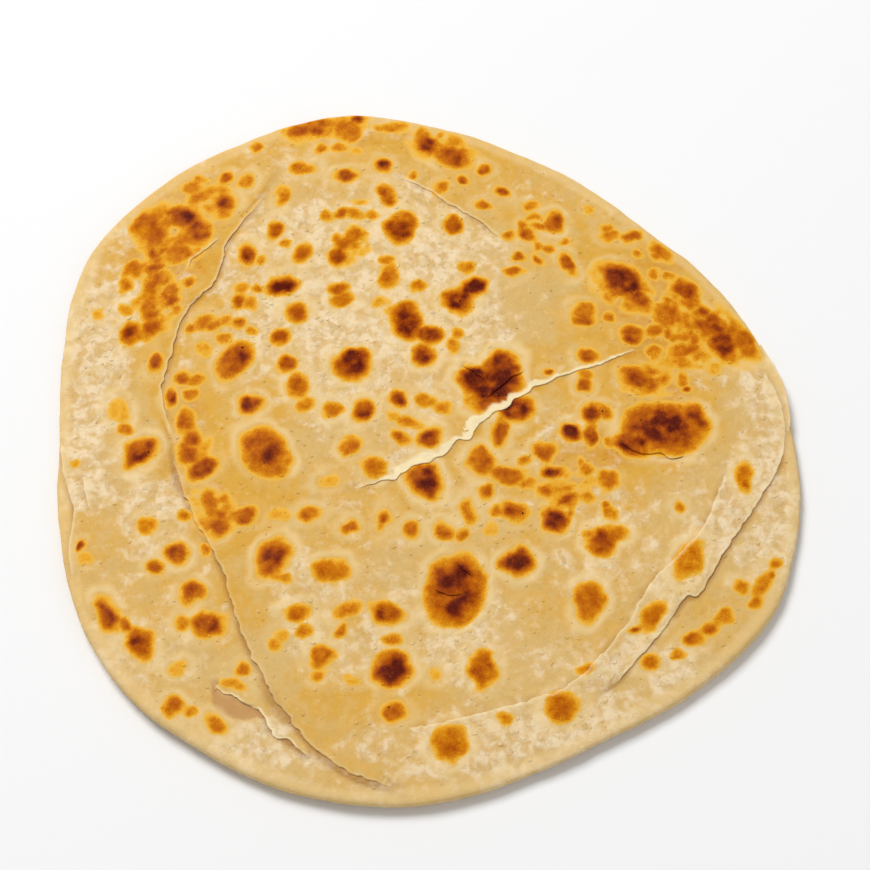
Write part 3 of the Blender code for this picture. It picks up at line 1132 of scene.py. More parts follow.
@dataclass
class Body:
    """The round of the bread: its top, rolled rim and underside as one closed mesh.

    Attributes:
        cells: Squares of the top's grid along each side, an even number.
        roll_steps: Rings of faces round the rim's roll.
    """

    cells: int = 264
    roll_steps: int = 7
    underside_cells: int = field(init=False)

    def __post_init__(self) -> None:
        """Give the underside squares twice as wide as the top's."""
        self.underside_cells = self.cells // 2

    @staticmethod
    def _round(cells: int, form: Form) -> tuple[np.ndarray, np.ndarray, np.ndarray]:
        """Pull a square grid to the bread's round, up to where the rim's roll starts.

        Args:
            cells: Squares along each side of the grid.
            form: The bread's form.

        Returns:
            The points' bearings and their places along X and Y.
        """
        even = np.linspace(-1.0, 1.0, cells + 1)
        u, v = np.meshgrid(even, even, indexing="ij")
        x, y = (u * np.sqrt(1.0 - 0.5 * v * v)).ravel(), (v * np.sqrt(1.0 - 0.5 * u * u)).ravel()
        bearing = np.arctan2(y, x)
        spread = np.hypot(x, y) * (form.reach(bearing) - form.ROLL)
        return bearing, spread * np.cos(bearing), spread * np.sin(bearing)

    @staticmethod
    def _border(cells: int) -> np.ndarray:
        """Indices of a grid's border points, anticlockwise seen from above."""
        index = np.arange((cells + 1) ** 2).reshape(cells + 1, cells + 1)
        return np.concatenate([index[:-1, 0], index[-1, :-1], index[:0:-1, -1], index[0, :0:-1]])

    def _grid_faces(self, cells: int, first: int, upward: bool) -> list[tuple[int, ...]]:
        """Square faces of a grid.

        Args:
            cells: Squares along each side.
            first: Index of the grid's first point.
            upward: Whether the faces point up.

        Returns:
            The faces.
        """
        index = np.arange((cells + 1) ** 2).reshape(cells + 1, cells + 1) + first
        corners = [index[:-1, :-1], index[1:, :-1], index[1:, 1:], index[:-1, 1:]]
        if not upward:
            corners.reverse()
        return [tuple(row) for row in np.stack(corners, axis=-1).reshape(-1, 4).tolist()]

    def _underside_faces(self, first: int, rim: np.ndarray) -> list[tuple[int, ...]]:
        """Faces of the underside, whose border squares take in the finer rim's points.

        Args:
            first: Index of the underside's first point.
            rim: Indices of the rim's last ring of points.

        Returns:
            The faces, which point down.
        """
        cells = self.underside_cells
        border = self._border(cells)
        on_rim = {int(point): int(rim[2 * step]) for step, point in enumerate(border)}
        after = {int(point): int(rim[2 * step + 1]) for step, point in enumerate(border)}
        follows = {int(a): int(b) for a, b in zip(border, np.roll(border, -1))}
        faces = []
        for face in self._grid_faces(cells, 0, upward=True):
            loop = []
            for here, there in zip(face, face[1:] + face[:1]):
                loop.append(on_rim.get(here, here + first))
                if follows.get(here) == there:
                    loop.append(after[here])
            faces.append(tuple(reversed(loop)))
        return faces

    def build(self, form: Form) -> Dough:
        """Build the closed body.

        Args:
            form: The bread's form.

        Returns:
            The body's piece.
        """
        bearing, x, y = self._round(self.cells, form)
        top = np.stack([x, y, form.top(x, y)], axis=1)
        border = self._border(self.cells)
        rings, faces = [], self._grid_faces(self.cells, 0, upward=True)
        edge_bearing = bearing[border]
        high = top[border, 2]
        low = form.lift(x[border], y[border])
        previous = border
        for step in range(1, self.roll_steps + 1):
            turn = math.pi * step / self.roll_steps
            reach = form.reach(edge_bearing) - form.ROLL * (1.0 - math.sin(turn) ** 0.8)
            height = low + (high - low) * 0.5 * (1.0 + math.cos(turn))
            ring_x, ring_y = reach * np.cos(edge_bearing), reach * np.sin(edge_bearing)
            rings.append(np.stack([ring_x, ring_y, height], axis=1))
            current = len(top) + (step - 1) * len(border) + np.arange(len(border))
            ahead, behind = np.roll(current, -1), np.roll(previous, -1)
            quads = np.stack([previous, current, ahead, behind], axis=1)
            faces.extend(tuple(row) for row in quads.tolist())
            previous = current
        _, x, y = self._round(self.underside_cells, form)
        under = np.stack([x, y, form.lift(x, y)], axis=1)
        first = len(top) + self.roll_steps * len(border)
        faces.extend(self._underside_faces(first, previous))
        dough = Dough("bread_body", np.vstack([top, *rings, under]), faces)
        self._drop_spare_points(dough)
        return dough

    @staticmethod
    def _drop_spare_points(dough: Dough) -> None:
        """Remove the underside's border points, whose places the rim's points take.

        Args:
            dough: The body's piece.
        """
        bm = bmesh.new()
        bm.from_mesh(dough.piece.data)
        spare = [vert for vert in bm.verts if not vert.link_faces]
        bmesh.ops.delete(bm, geom=spare, context="VERTS")
        bm.to_mesh(dough.piece.data)
        bm.free()


@dataclass
class FreeEdge:
    """A thin sheet that grows out of the body's top and ends in a layer's free edge.

    Attributes:
        edge: The edge it shows.
        spacing: Distance between its cross-sections, in metres.
        band: How far in from the edge the sheet reaches, in metres.
        band_rows: Rows of points across its band.
        round_rows: Rows of points round its free edge.
    """

    edge: LayerEdge
    spacing: float = 0.0006
    band: float = 0.0070
    band_rows: int = 14
    round_rows: int = 6

    # How far the sheet lies over the body near its edge, and under it at its root.
    COVER = 0.00010
    SINK = 0.00018
    # How far its faded ends sink on.
    END_SINK = 0.0004
    # How far in and how far down its underside runs.
    UNDERCUT = 0.0040
    UNDER_ROWS = (0.35, 0.7, 1.0)
    ROOT_DEPTH = 0.0016
    # Sections over which the sheet's direction is smoothed, an odd number.
    SMOOTHING = 17
    # Sizes of the noise that the edge's line and its ribbon of torn dough stray by.
    STRAY_SIZE = 0.0028
    RIBBON_SIZE = 0.0022
    # Where the ribbon and the pale rim end, and the least width of a ribbon.
    RIBBON_END = (0.0006, -0.0004)
    PALE_END = (0.0012, 0.0002)
    LEAST_RIBBON = 0.0002

    def _section(self) -> list[tuple[float, float]]:
        """Rows of the cross-section, from the root over the top and back underneath.

        Returns:
            For each row how far in from the edge it is, and its height over the
            upper layer's top.
        """
        half = 0.5 * self.edge.thickness
        rows = []
        for step in range(self.band_rows):
            inward = half + (self.band - half) * (1.0 - step / self.band_rows) ** 1.5
            share = inward / self.band
            cover = self.COVER * (1.0 - share) - (self.COVER + self.SINK) * share ** 3
            rows.append((inward, cover))
        for step in range(self.round_rows + 1):
            turn = math.pi * (0.5 - step / self.round_rows)
            rows.append((half * (1.0 - math.cos(turn)), self.COVER - half + half * math.sin(turn)))
        for share in self.UNDER_ROWS:
            inward = half + (self.UNDERCUT - half) * share
            rows.append((inward, self.COVER - self.edge.thickness - self.ROOT_DEPTH * share ** 1.6))
        rows.append((self.band, -self.ROOT_DEPTH - self.edge.thickness))
        return rows

    def _directions(self, line: np.ndarray) -> np.ndarray:
        """Directions into the upper layer along a line, smoothed.

        Args:
            line: Points of the line.

        Returns:
            A unit vector for each point.
        """
        run = np.gradient(line, axis=0)
        kernel = np.hanning(self.SMOOTHING)
        half = len(kernel) // 2
        padded = np.pad(run, ((half, half), (0, 0)), mode="edge")
        run = np.stack([np.convolve(padded[:, axis], kernel, "valid") for axis in (0, 1)], axis=1)
        run /= np.hypot(*run.T)[:, None]
        return np.stack([-run[:, 1], run[:, 0]], axis=1)

    def build(self, form: Form) -> Dough:
        """Build the sheet on the body's top.

        Args:
            form: The bread's form.

        Returns:
            The sheet's piece, with its bare dough stored.
        """
        edge = self.edge
        line = edge.route.sampled(self.spacing)
        inward = self._directions(line)
        along = np.linspace(0.0, 1.0, len(line))
        fade = edge.fading(along)
        stray = edge.ragged * Noise(72, self.STRAY_SIZE, 3)(line[:, 0], line[:, 1]) * fade
        ribbon = np.interp(along, *np.array(edge.ribbon).T)
        ribbon = ribbon * (1.0 + 0.5 * Noise(73, self.RIBBON_SIZE, 2)(line[:, 0], line[:, 1]))
        points, bare = [], []
        for far, height in self._section():
            place = line + inward * (far + stray * max(0.0, 1.0 - far / self.band))[:, None]
            top = form.top(place[:, 0], place[:, 1], edge)
            sunk = height * fade - (self.SINK + self.END_SINK) * (1.0 - fade)
            points.append(np.column_stack([place, top + sunk]))
            torn = smooth_step(*self.RIBBON_END, far - ribbon) * (ribbon > self.LEAST_RIBBON)
            thin = edge.pale * smooth_step(*self.PALE_END, np.full(len(line), far))
            bare.append(np.maximum(torn, thin) * fade)
        count, around = len(line), len(points)
        index = np.arange(count * around).reshape(around, count)
        ahead = np.roll(index, -1, axis=0)
        quads = np.stack([index[:, :-1], ahead[:, :-1], ahead[:, 1:], index[:, 1:]], axis=-1)
        faces = [tuple(row) for row in quads.reshape(-1, 4).tolist()]
        faces.append(tuple(index[::-1, 0].tolist()))
        faces.append(tuple(index[:, -1].tolist()))
        dough = Dough(edge.name, np.vstack(points), faces)
        dough.store(bare=np.concatenate(bare))
        return dough


# ------------------------------------------------------------------ node trees

class Graph:
    """A node tree with short ways to add and join nodes."""

    def __init__(self, tree: bpy.types.NodeTree) -> None:
        """Take the tree to build in."""
        self.tree = tree

    def socket(
        self, name: str, kind: str, output: bool = False, value: float | None = None,
    ) -> None:
        """Add a named socket to a group's interface.

        Args:
            name: The socket's name.
            kind: Its type name.
            output: Whether it is an output.
            value: Its first value, if it has one.
        """
        side = "OUTPUT" if output else "INPUT"
        made = self.tree.interface.new_socket(name, in_out=side, socket_type=kind)
        if value is not None:
            made.default_value = value

    def add(self, kind: str, settings: dict | None = None, **inputs: object) -> bpy.types.Node:
        """Add a node.

        Args:
            kind: The node's type name.
            settings: Values of its own properties.
            **inputs: Values or sockets for its inputs, named with _ for a space, or
                with a leading _ and a number for an input at that place.

        Returns:
            The node.
        """
        node = self.tree.nodes.new(kind)
        for name, value in (settings or {}).items():
            setattr(node, name, value)
        self.give(node, **inputs)
        return node

    def give(self, node: bpy.types.Node, **inputs: object) -> None:
        """Give a node's inputs their values or sockets.

        Args:
            node: The node.
            **inputs: The values or sockets, named as for a new node.
        """
        for name, value in inputs.items():
            key = int(name[1:]) if name.startswith("_") else name.replace("_", " ")
            if isinstance(value, bpy.types.NodeSocket):
                self.tree.links.new(value, node.inputs[key])
            else:
                node.inputs[key].default_value = value

    def attribute(self, name: str) -> bpy.types.NodeSocket:
        """A number stored on the points of a piece, in a material."""
        return self.add("ShaderNodeAttribute", {"attribute_name": name}).outputs["Fac"]

    def math(self, operation: str, first: object, second: object) -> bpy.types.NodeSocket:
        """A quotient, difference or other result of two numbers."""
        return self.add("ShaderNodeMath", {"operation": operation}, _0=first, _1=second).outputs[0]

    def times(self, first: object, second: object) -> bpy.types.NodeSocket:
        """The product of two numbers."""
        return self.math("MULTIPLY", first, second)

    def plus(self, first: object, second: object) -> bpy.types.NodeSocket:
        """The sum of two numbers."""
        return self.math("ADD", first, second)

    def centred(self, value: object) -> bpy.types.NodeSocket:
        """A number from 0 to 1 brought to lie round 0."""
        return self.math("SUBTRACT", value, 0.5)

    def vector(self, operation: str, **inputs: object) -> bpy.types.NodeSocket:
        """The result of an operation on vectors."""
        return self.add("ShaderNodeVectorMath", {"operation": operation}, **inputs).outputs[0]

    def ramp(
        self, value: object, low: float, high: float, start: float = 0.0, end: float = 1.0,
    ) -> bpy.types.NodeSocket:
        """A number eased between two others as a value rises.

        Args:
            value: The value.
            low: Where the easing starts.
            high: Where it ends.
            start: The number up to there.
            end: The number from there on.

        Returns:
            The eased number.
        """
        node = self.add("ShaderNodeMapRange", {"interpolation_type": "SMOOTHSTEP"}, Value=value)
        self.give(node, From_Min=low, From_Max=high, To_Min=start, To_Max=end)
        return node.outputs["Result"]

    def mix(self, share: object, first: object, second: object) -> bpy.types.NodeSocket:
        """A colour between two colours, which takes a share of the second."""
        node = self.add("ShaderNodeMix", {"data_type": "RGBA"}, _0=share, _6=first, _7=second)
        return node.outputs[2]

    def tinge(
        self, base: object, tint: object, mask: object, strength: float,
    ) -> bpy.types.NodeSocket:
        """A colour with a tint laid over it where a mask says so."""
        return self.mix(self.times(mask, strength), base, tint)

    def noise(
        self, place: object, size: float, detail: float = 2.0, distortion: float = 0.0,
    ) -> bpy.types.NodeSocket:
        """Noise from 0 to 1 whose lumps have a size in metres."""
        return self.add(
            "ShaderNodeTexNoise", Vector=place, Scale=1.0 / size, Detail=detail,
            Distortion=distortion,
        ).outputs["Fac"]


Colour = tuple[float, float, float, float]


def colour(red: int, green: int, blue: int) -> Colour:
    """A surface colour from its screen values.

    Args:
        red: Red, from 0 to 255.
        green: Green, from 0 to 255.
        blue: Blue, from 0 to 255.

    Returns:
        The colour in linear shares, with full cover.
    """
    def linear(value: float) -> float:
        """A linear share from a screen share."""
        return value / 12.92 if value <= 0.04045 else ((value + 0.055) / 1.055) ** 2.4
    return (*(linear(value / 255.0) for value in (red, green, blue)), 1.0)


def speckle_group() -> bpy.types.NodeTree:
    """Build the shader group that gives fine grains and the crevices between lumps.

    Returns:
        The group.
    """
    tree = bpy.data.node_groups.new("dough grain", "ShaderNodeTree")
    graph = Graph(tree)
    graph.socket("Vector", "NodeSocketVector")
    graph.socket("Lump Size", "NodeSocketFloat", value=0.0018)
    graph.socket("Grain", "NodeSocketFloat", output=True)
    graph.socket("Crevice", "NodeSocketFloat", output=True)
    graph.socket("Height", "NodeSocketFloat", output=True)
    given = graph.add("NodeGroupInput")
    place = given.outputs["Vector"]
    scale = graph.math("DIVIDE", 1.0, given.outputs["Lump Size"])
    grain = graph.add("ShaderNodeTexNoise", Vector=place, Detail=5.0, Roughness=0.7)
    graph.give(grain, Scale=graph.times(scale, 1.6))
    bend = graph.add("ShaderNodeTexNoise", Vector=place, Scale=graph.times(scale, 0.9))
    reach = graph.times(given.outputs["Lump Size"], 1.3)
    pull = graph.vector("SCALE", _0=bend.outputs["Color"], Scale=reach)
    bent = graph.vector("ADD", _0=place, _1=pull)
    cells = graph.add(
        "ShaderNodeTexVoronoi", {"feature": "DISTANCE_TO_EDGE"}, Vector=bent, Scale=scale,
    )
    crevice = graph.ramp(cells.outputs["Distance"], 0.0, 0.16, 1.0, 0.0)
    broken = graph.ramp(graph.noise(place, 0.0045, 2.0), 0.42, 0.62)
    crevice = graph.times(crevice, broken)
    height = graph.math("SUBTRACT", grain.outputs["Fac"], graph.times(crevice, 0.8))
    graph.add("NodeGroupOutput", Grain=grain.outputs["Fac"], Crevice=crevice, Height=height)
    return tree


def new_material(name: str) -> tuple[bpy.types.Material, Graph, bpy.types.Node]:
    """Start a material.

    Args:
        name: The material's name.

    Returns:
        The material, its tree and its surface shader.
    """
    made = bpy.data.materials.new(name)
    made.use_nodes = True
    return made, Graph(made.node_tree), made.node_tree.nodes["Principled BSDF"]


@dataclass(frozen=True)
class DoughFinish:
    """Cooked dough: floury and oily skin, and the browning of its marks."""

    flour: Colour = colour(240, 216, 176)
    flour_shade: Colour = colour(221, 184, 124)
    # Painted shade: the shadowed pits and crevices of the floury skin.
    pit_shade: Colour = colour(204, 168, 108)
    beige: Colour = colour(218, 181, 113)
    golden: Colour = colour(221, 169, 70)
    honey: Colour = colour(211, 144, 30)
    pale_fleck: Colour = colour(232, 202, 148)
    dull_fleck: Colour = colour(194, 152, 82)
    ring: Colour = colour(238, 207, 148)
    bare: Colour = colour(248, 229, 184)
    torn: Colour = colour(196, 148, 94)
    # Painted shade: the brown of the shadowed gaps beside layer edges, in hollows and in blister cracks.
    crease: Colour = colour(150, 92, 30)
    # Painted highlight: pinkish light flecks on the toasted marks.
    highlight_fleck: Colour = colour(204, 118, 58)
    browning: tuple[tuple[float, Colour], ...] = (
        (0.00, colour(242, 200, 112)),
        (0.14, colour(238, 182, 64)),
        (0.26, colour(228, 156, 30)),
        (0.38, colour(212, 130, 14)),
        (0.50, colour(196, 108, 8)),
        (0.62, colour(178, 88, 6)),
        (0.76, colour(150, 62, 6)),
        (0.88, colour(118, 40, 10)),
        (1.00, colour(86, 20, 10)),
    )
    lump_size: float = 0.0024
    grain_size: float = 0.0007
    mottle_size: float = 0.011
    patch_size: float = 0.0042
    blotch_size: float = 0.0032
    pit_size: float = 0.0030
    browning_size: float = 0.0018
    crevice_shade_cover: float = 0.30
    crease_cover: float = 0.7
    torn_cover: float = 0.9
    ring_cover: float = 0.80
    bare_cover: float = 0.94
    rough_flour: float = 0.80
    rough_oil: float = 0.48
    grain_height: float = 0.45
    bump_strength: float = 0.52
    bump_height: float = 0.00022
    under_skin: float = 0.08
    under_skin_reach: float = 0.0010
    shine: float = 0.04

    def _skin(self, graph: Graph, place: object, curd: object) -> tuple[object, object]:
        """Colour of the untoasted skin.

        Args:
            graph: The material's tree.
            place: Places on the piece.
            curd: Noise of the coarser lumps.

        Returns:
            The colour, and how floury the skin is.
        """
        flour, gold = graph.attribute("flour"), graph.attribute("gold")
        big = graph.centred(graph.noise(place, self.mottle_size, 3.0))
        mid = graph.centred(graph.noise(place, self.patch_size, 3.0, 0.25))
        stir = graph.plus(graph.times(big, 0.7), graph.times(mid, 1.8))
        stir = graph.plus(stir, graph.times(graph.centred(curd), 0.45))
        floury = graph.ramp(graph.plus(flour, stir), 0.32, 1.02)
        hue = graph.plus(gold, graph.times(mid, 0.9))
        oily = graph.mix(graph.ramp(hue, 0.10, 0.62), self.beige, self.golden)
        oily = graph.mix(graph.ramp(hue, 0.70, 1.15), oily, self.honey)
        oily = graph.tinge(oily, self.pale_fleck, graph.ramp(curd, 0.54, 0.70), 0.40)
        oily = graph.tinge(oily, self.dull_fleck, graph.ramp(curd, 0.46, 0.30), 0.30)
        blotch = graph.noise(place, self.blotch_size, 3.0, 0.5)
        ivory = graph.mix(graph.ramp(blotch, 0.34, 0.60), self.flour_shade, self.flour)
        ivory = graph.tinge(ivory, self.bare, graph.ramp(curd, 0.60, 0.72), 0.5)
        # Painted shade in small pits of the floury skin.
        pit_shade_mask = graph.ramp(graph.noise(place, self.pit_size, 3.0, 0.7), 0.55, 0.72)
        ivory = graph.tinge(ivory, self.pit_shade, pit_shade_mask, 0.62)
        return graph.mix(floury, oily, ivory), floury

    def _toasted(self, graph: Graph, place: object, grain: object, skin: object) -> object:
        """Lay the browning of the marks over the skin.

        Args:
            graph: The material's tree.
            place: Places on the piece.
            grain: Noise of the fine grains.
            skin: The skin's colour.

        Returns:
            The colour.
        """
        toast = graph.attribute("toast")
        uneven = graph.centred(graph.noise(place, self.browning_size, 5.0, 0.4))
        stir = graph.plus(graph.times(uneven, 0.45), graph.times(graph.centred(grain), 0.55))
        level = graph.plus(toast, graph.times(stir, graph.ramp(toast, 0.0, 0.35)))
        scale = graph.add("ShaderNodeValToRGB", Fac=level)
        self._fill(scale.color_ramp)
        # Painted highlights: pinkish light flecks on the browner parts of the marks.
        strength = graph.ramp(toast, 0.30, 0.70, 0.0, 0.46)
        highlight_flecks = graph.times(graph.ramp(grain, 0.56, 0.68), strength)
        browned = graph.mix(highlight_flecks, scale.outputs["Color"], self.highlight_fleck)
        return graph.mix(graph.ramp(level, 0.02, 0.16), skin, browned)

    def material(self, grain: bpy.types.NodeTree) -> bpy.types.Material:
        """Build the dough's material.

        Args:
            grain: The shader group of grains and crevices.

        Returns:
            The material.
        """
        made, graph, shader = new_material("cooked dough")
        place = graph.add("ShaderNodeTexCoord").outputs["Object"]
        group = {"node_tree": grain}
        lumps = graph.add("ShaderNodeGroup", group, Vector=place, Lump_Size=self.lump_size)
        fine = graph.add("ShaderNodeGroup", group, Vector=place, Lump_Size=self.grain_size)
        skin, floury = self._skin(graph, place, lumps.outputs["Grain"])
        # Painted shade in the crevices between lumps of the floury skin.
        crevice_shade = graph.times(lumps.outputs["Crevice"], floury)
        skin = graph.tinge(skin, self.pit_shade, crevice_shade, self.crevice_shade_cover)
        # Painted shade darkens the gaps beside layer edges, the hollows and the blister cracks.
        skin = graph.tinge(skin, self.crease, graph.attribute("crease"), self.crease_cover)
        skin = graph.tinge(skin, self.torn, graph.attribute("torn"), self.torn_cover)
        skin = graph.tinge(skin, self.ring, graph.attribute("ring"), self.ring_cover)
        skin = self._toasted(graph, place, fine.outputs["Grain"], skin)
        skin = graph.tinge(skin, self.bare, graph.attribute("bare"), self.bare_cover)
        rough = graph.plus(graph.times(floury, self.rough_flour - self.rough_oil), self.rough_oil)
        low = graph.times(lumps.outputs["Height"], graph.ramp(floury, 0.0, 1.0, 0.4, 1.0))
        relief = graph.plus(low, graph.times(fine.outputs["Height"], self.grain_height))
        bump = graph.add(
            "ShaderNodeBump",
            Strength=self.bump_strength, Distance=self.bump_height, Height=relief,
        )
        graph.give(
            shader, Base_Color=skin, Roughness=rough, Normal=bump.outputs["Normal"],
            Subsurface_Weight=self.under_skin, Subsurface_Radius=(1.0, 0.55, 0.22),
            Subsurface_Scale=self.under_skin_reach, Specular_IOR_Level=self.shine,
        )
        return made

    def _fill(self, ramp: bpy.types.ColorRamp) -> None:
        """Set a colour ramp to the browning's steps.

        Args:
            ramp: The colour ramp, with its first two steps.
        """
        first, *middle, last = self.browning
        for element, (place, shade) in zip(ramp.elements, (first, last)):
            element.position, element.color = place, shade
        for place, shade in middle:
            ramp.elements.new(place).color = shade


@dataclass(frozen=True)
class CharFinish:
    """Burnt crumbs."""

    shade: Colour = colour(64, 28, 12)
    edge: Colour = colour(104, 52, 22)
    grain_size: float = 0.0004
    rough: float = 0.85
    shine: float = 0.04

    def material(self, grain: bpy.types.NodeTree) -> bpy.types.Material:
        """Build the char's material.

        Args:
            grain: The shader group of grains and crevices.

        Returns:
            The material.
        """
        made, graph, shader = new_material("char")
        place = graph.add("ShaderNodeTexCoord").outputs["Object"]
        group = {"node_tree": grain}
        fine = graph.add("ShaderNodeGroup", group, Vector=place, Lump_Size=self.grain_size)
        mixed = graph.mix(graph.ramp(fine.outputs["Grain"], 0.4, 0.7), self.shade, self.edge)
        graph.give(shader, Base_Color=mixed, Roughness=self.rough, Specular_IOR_Level=self.shine)
        return made


# ------------------------------------------------------------------ geometry trees

def with_nodes(piece: bpy.types.Object, tree: bpy.types.NodeTree, **values: object) -> bpy.types.Mesh:
    """Run a geometry tree on a piece.

    Args:
        piece: The piece that the tree works on.
        tree: The tree.
        **values: Values of the tree's named inputs, with _ for a space.

    Returns:
        The result as a plain mesh.
    """
    modifier = piece.modifiers.new(tree.name, "NODES")
    modifier.node_group = tree
    for item in tree.interface.items_tree:
        key = item.name.replace(" ", "_")
        if item.in_out == "INPUT" and key in values:
            modifier[item.identifier] = values[key]
    depsgraph = bpy.context.evaluated_depsgraph_get()
    shaped = piece.evaluated_get(depsgraph)
    mesh = bpy.data.meshes.new_from_object(shaped, preserve_all_data_layers=True, depsgraph=depsgraph)
    piece.modifiers.remove(modifier)
    return mesh


def geometry_tree(name: str, **inputs: str) -> Graph:
    """Start a geometry tree that takes and gives geometry.

    Args:
        name: The tree's name.
        **inputs: The kinds of its other inputs, such as "Float", under their names, with _
            for a space.

    Returns:
        The tree.
    """
    tree = bpy.data.node_groups.new(name, "GeometryNodeTree")
    graph = Graph(tree)
    graph.socket("Geometry", "NodeSocketGeometry")
    for label, kind in inputs.items():
        graph.socket(label.replace("_", " "), f"NodeSocket{kind}")
    graph.socket("Geometry", "NodeSocketGeometry", output=True)
    return graph


def end_tree(graph: Graph, geometry: bpy.types.NodeSocket, material: bpy.types.NodeSocket) -> None:
    """End a geometry tree by giving its geometry a material."""
    dressed = graph.add("GeometryNodeSetMaterial", Geometry=geometry, Material=material)
    graph.add("NodeGroupOutput", Geometry=dressed.outputs[0])


def named(graph: Graph, name: str) -> bpy.types.NodeSocket:
    """A number stored on the points, in a geometry tree."""
    node = graph.add("GeometryNodeInputNamedAttribute", {"data_type": "FLOAT"}, Name=name)
    return node.outputs["Attribute"]


class Relief:
    """The dough's lumps and wrinkles, as a geometry tree that moves a piece's points."""

    LUMP_HEIGHT = 0.00017
    LUMP_SIZE = 0.0032
    WRINKLE_HEIGHT = 0.00012
    WRINKLE_SIZE = 0.0022

    def __init__(self) -> None:
        """Build the tree."""
        graph = geometry_tree(
            "dough relief", Lump_Height="Float", Lump_Size="Float",
            Wrinkle_Height="Float", Wrinkle_Size="Float", Material="Material",
        )
        given = graph.add("NodeGroupInput").outputs
        place = graph.add("GeometryNodeInputPosition").outputs[0]
        normal = graph.add("GeometryNodeInputNormal").outputs[0]
        lumps = self._noise(graph, place, given["Lump Size"], 3.0)
        lumps = graph.times(lumps, named(graph, "lumpy"))
        wrinkles = self._noise(graph, place, given["Wrinkle Size"], 2.0)
        wrinkles = graph.times(wrinkles, named(graph, "wrinkled"))
        lumps = graph.times(lumps, given["Lump Height"])
        wrinkles = graph.times(wrinkles, given["Wrinkle Height"])
        away = graph.vector("SCALE", _0=normal, Scale=graph.plus(lumps, wrinkles))
        moved = graph.add("GeometryNodeSetPosition", Geometry=given["Geometry"], Offset=away)
        real = graph.add("GeometryNodeRealizeInstances", Geometry=moved.outputs[0])
        end_tree(graph, real.outputs[0], given["Material"])
        self.tree = graph.tree

    @staticmethod
    def _noise(
        graph: Graph, place: object, size: object, detail: float,
    ) -> bpy.types.NodeSocket:
        """Noise from about -1 to 1.

        Args:
            graph: The tree.
            place: The places.
            size: The socket that gives its lumps' size.
            detail: How much fine detail it has.

        Returns:
            The noise.
        """
        scale = graph.math("DIVIDE", 1.0, size)
        node = graph.add("ShaderNodeTexNoise", Vector=place, Scale=scale, Detail=detail)
        return graph.times(graph.centred(node.outputs[0]), 3.0)

    def shape(self, dough: Dough, material: bpy.types.Material) -> None:
        """Move a piece's points and give it its material.

        Args:
            dough: The piece.
            material: The material.
        """
        flat = dough.piece.data
        dough.piece.data = with_nodes(
            dough.piece, self.tree, Lump_Height=self.LUMP_HEIGHT, Lump_Size=self.LUMP_SIZE,
            Wrinkle_Height=self.WRINKLE_HEIGHT, Wrinkle_Size=self.WRINKLE_SIZE, Material=material,
        )
        bpy.data.meshes.remove(flat)
        dough.piece.data.name = dough.name


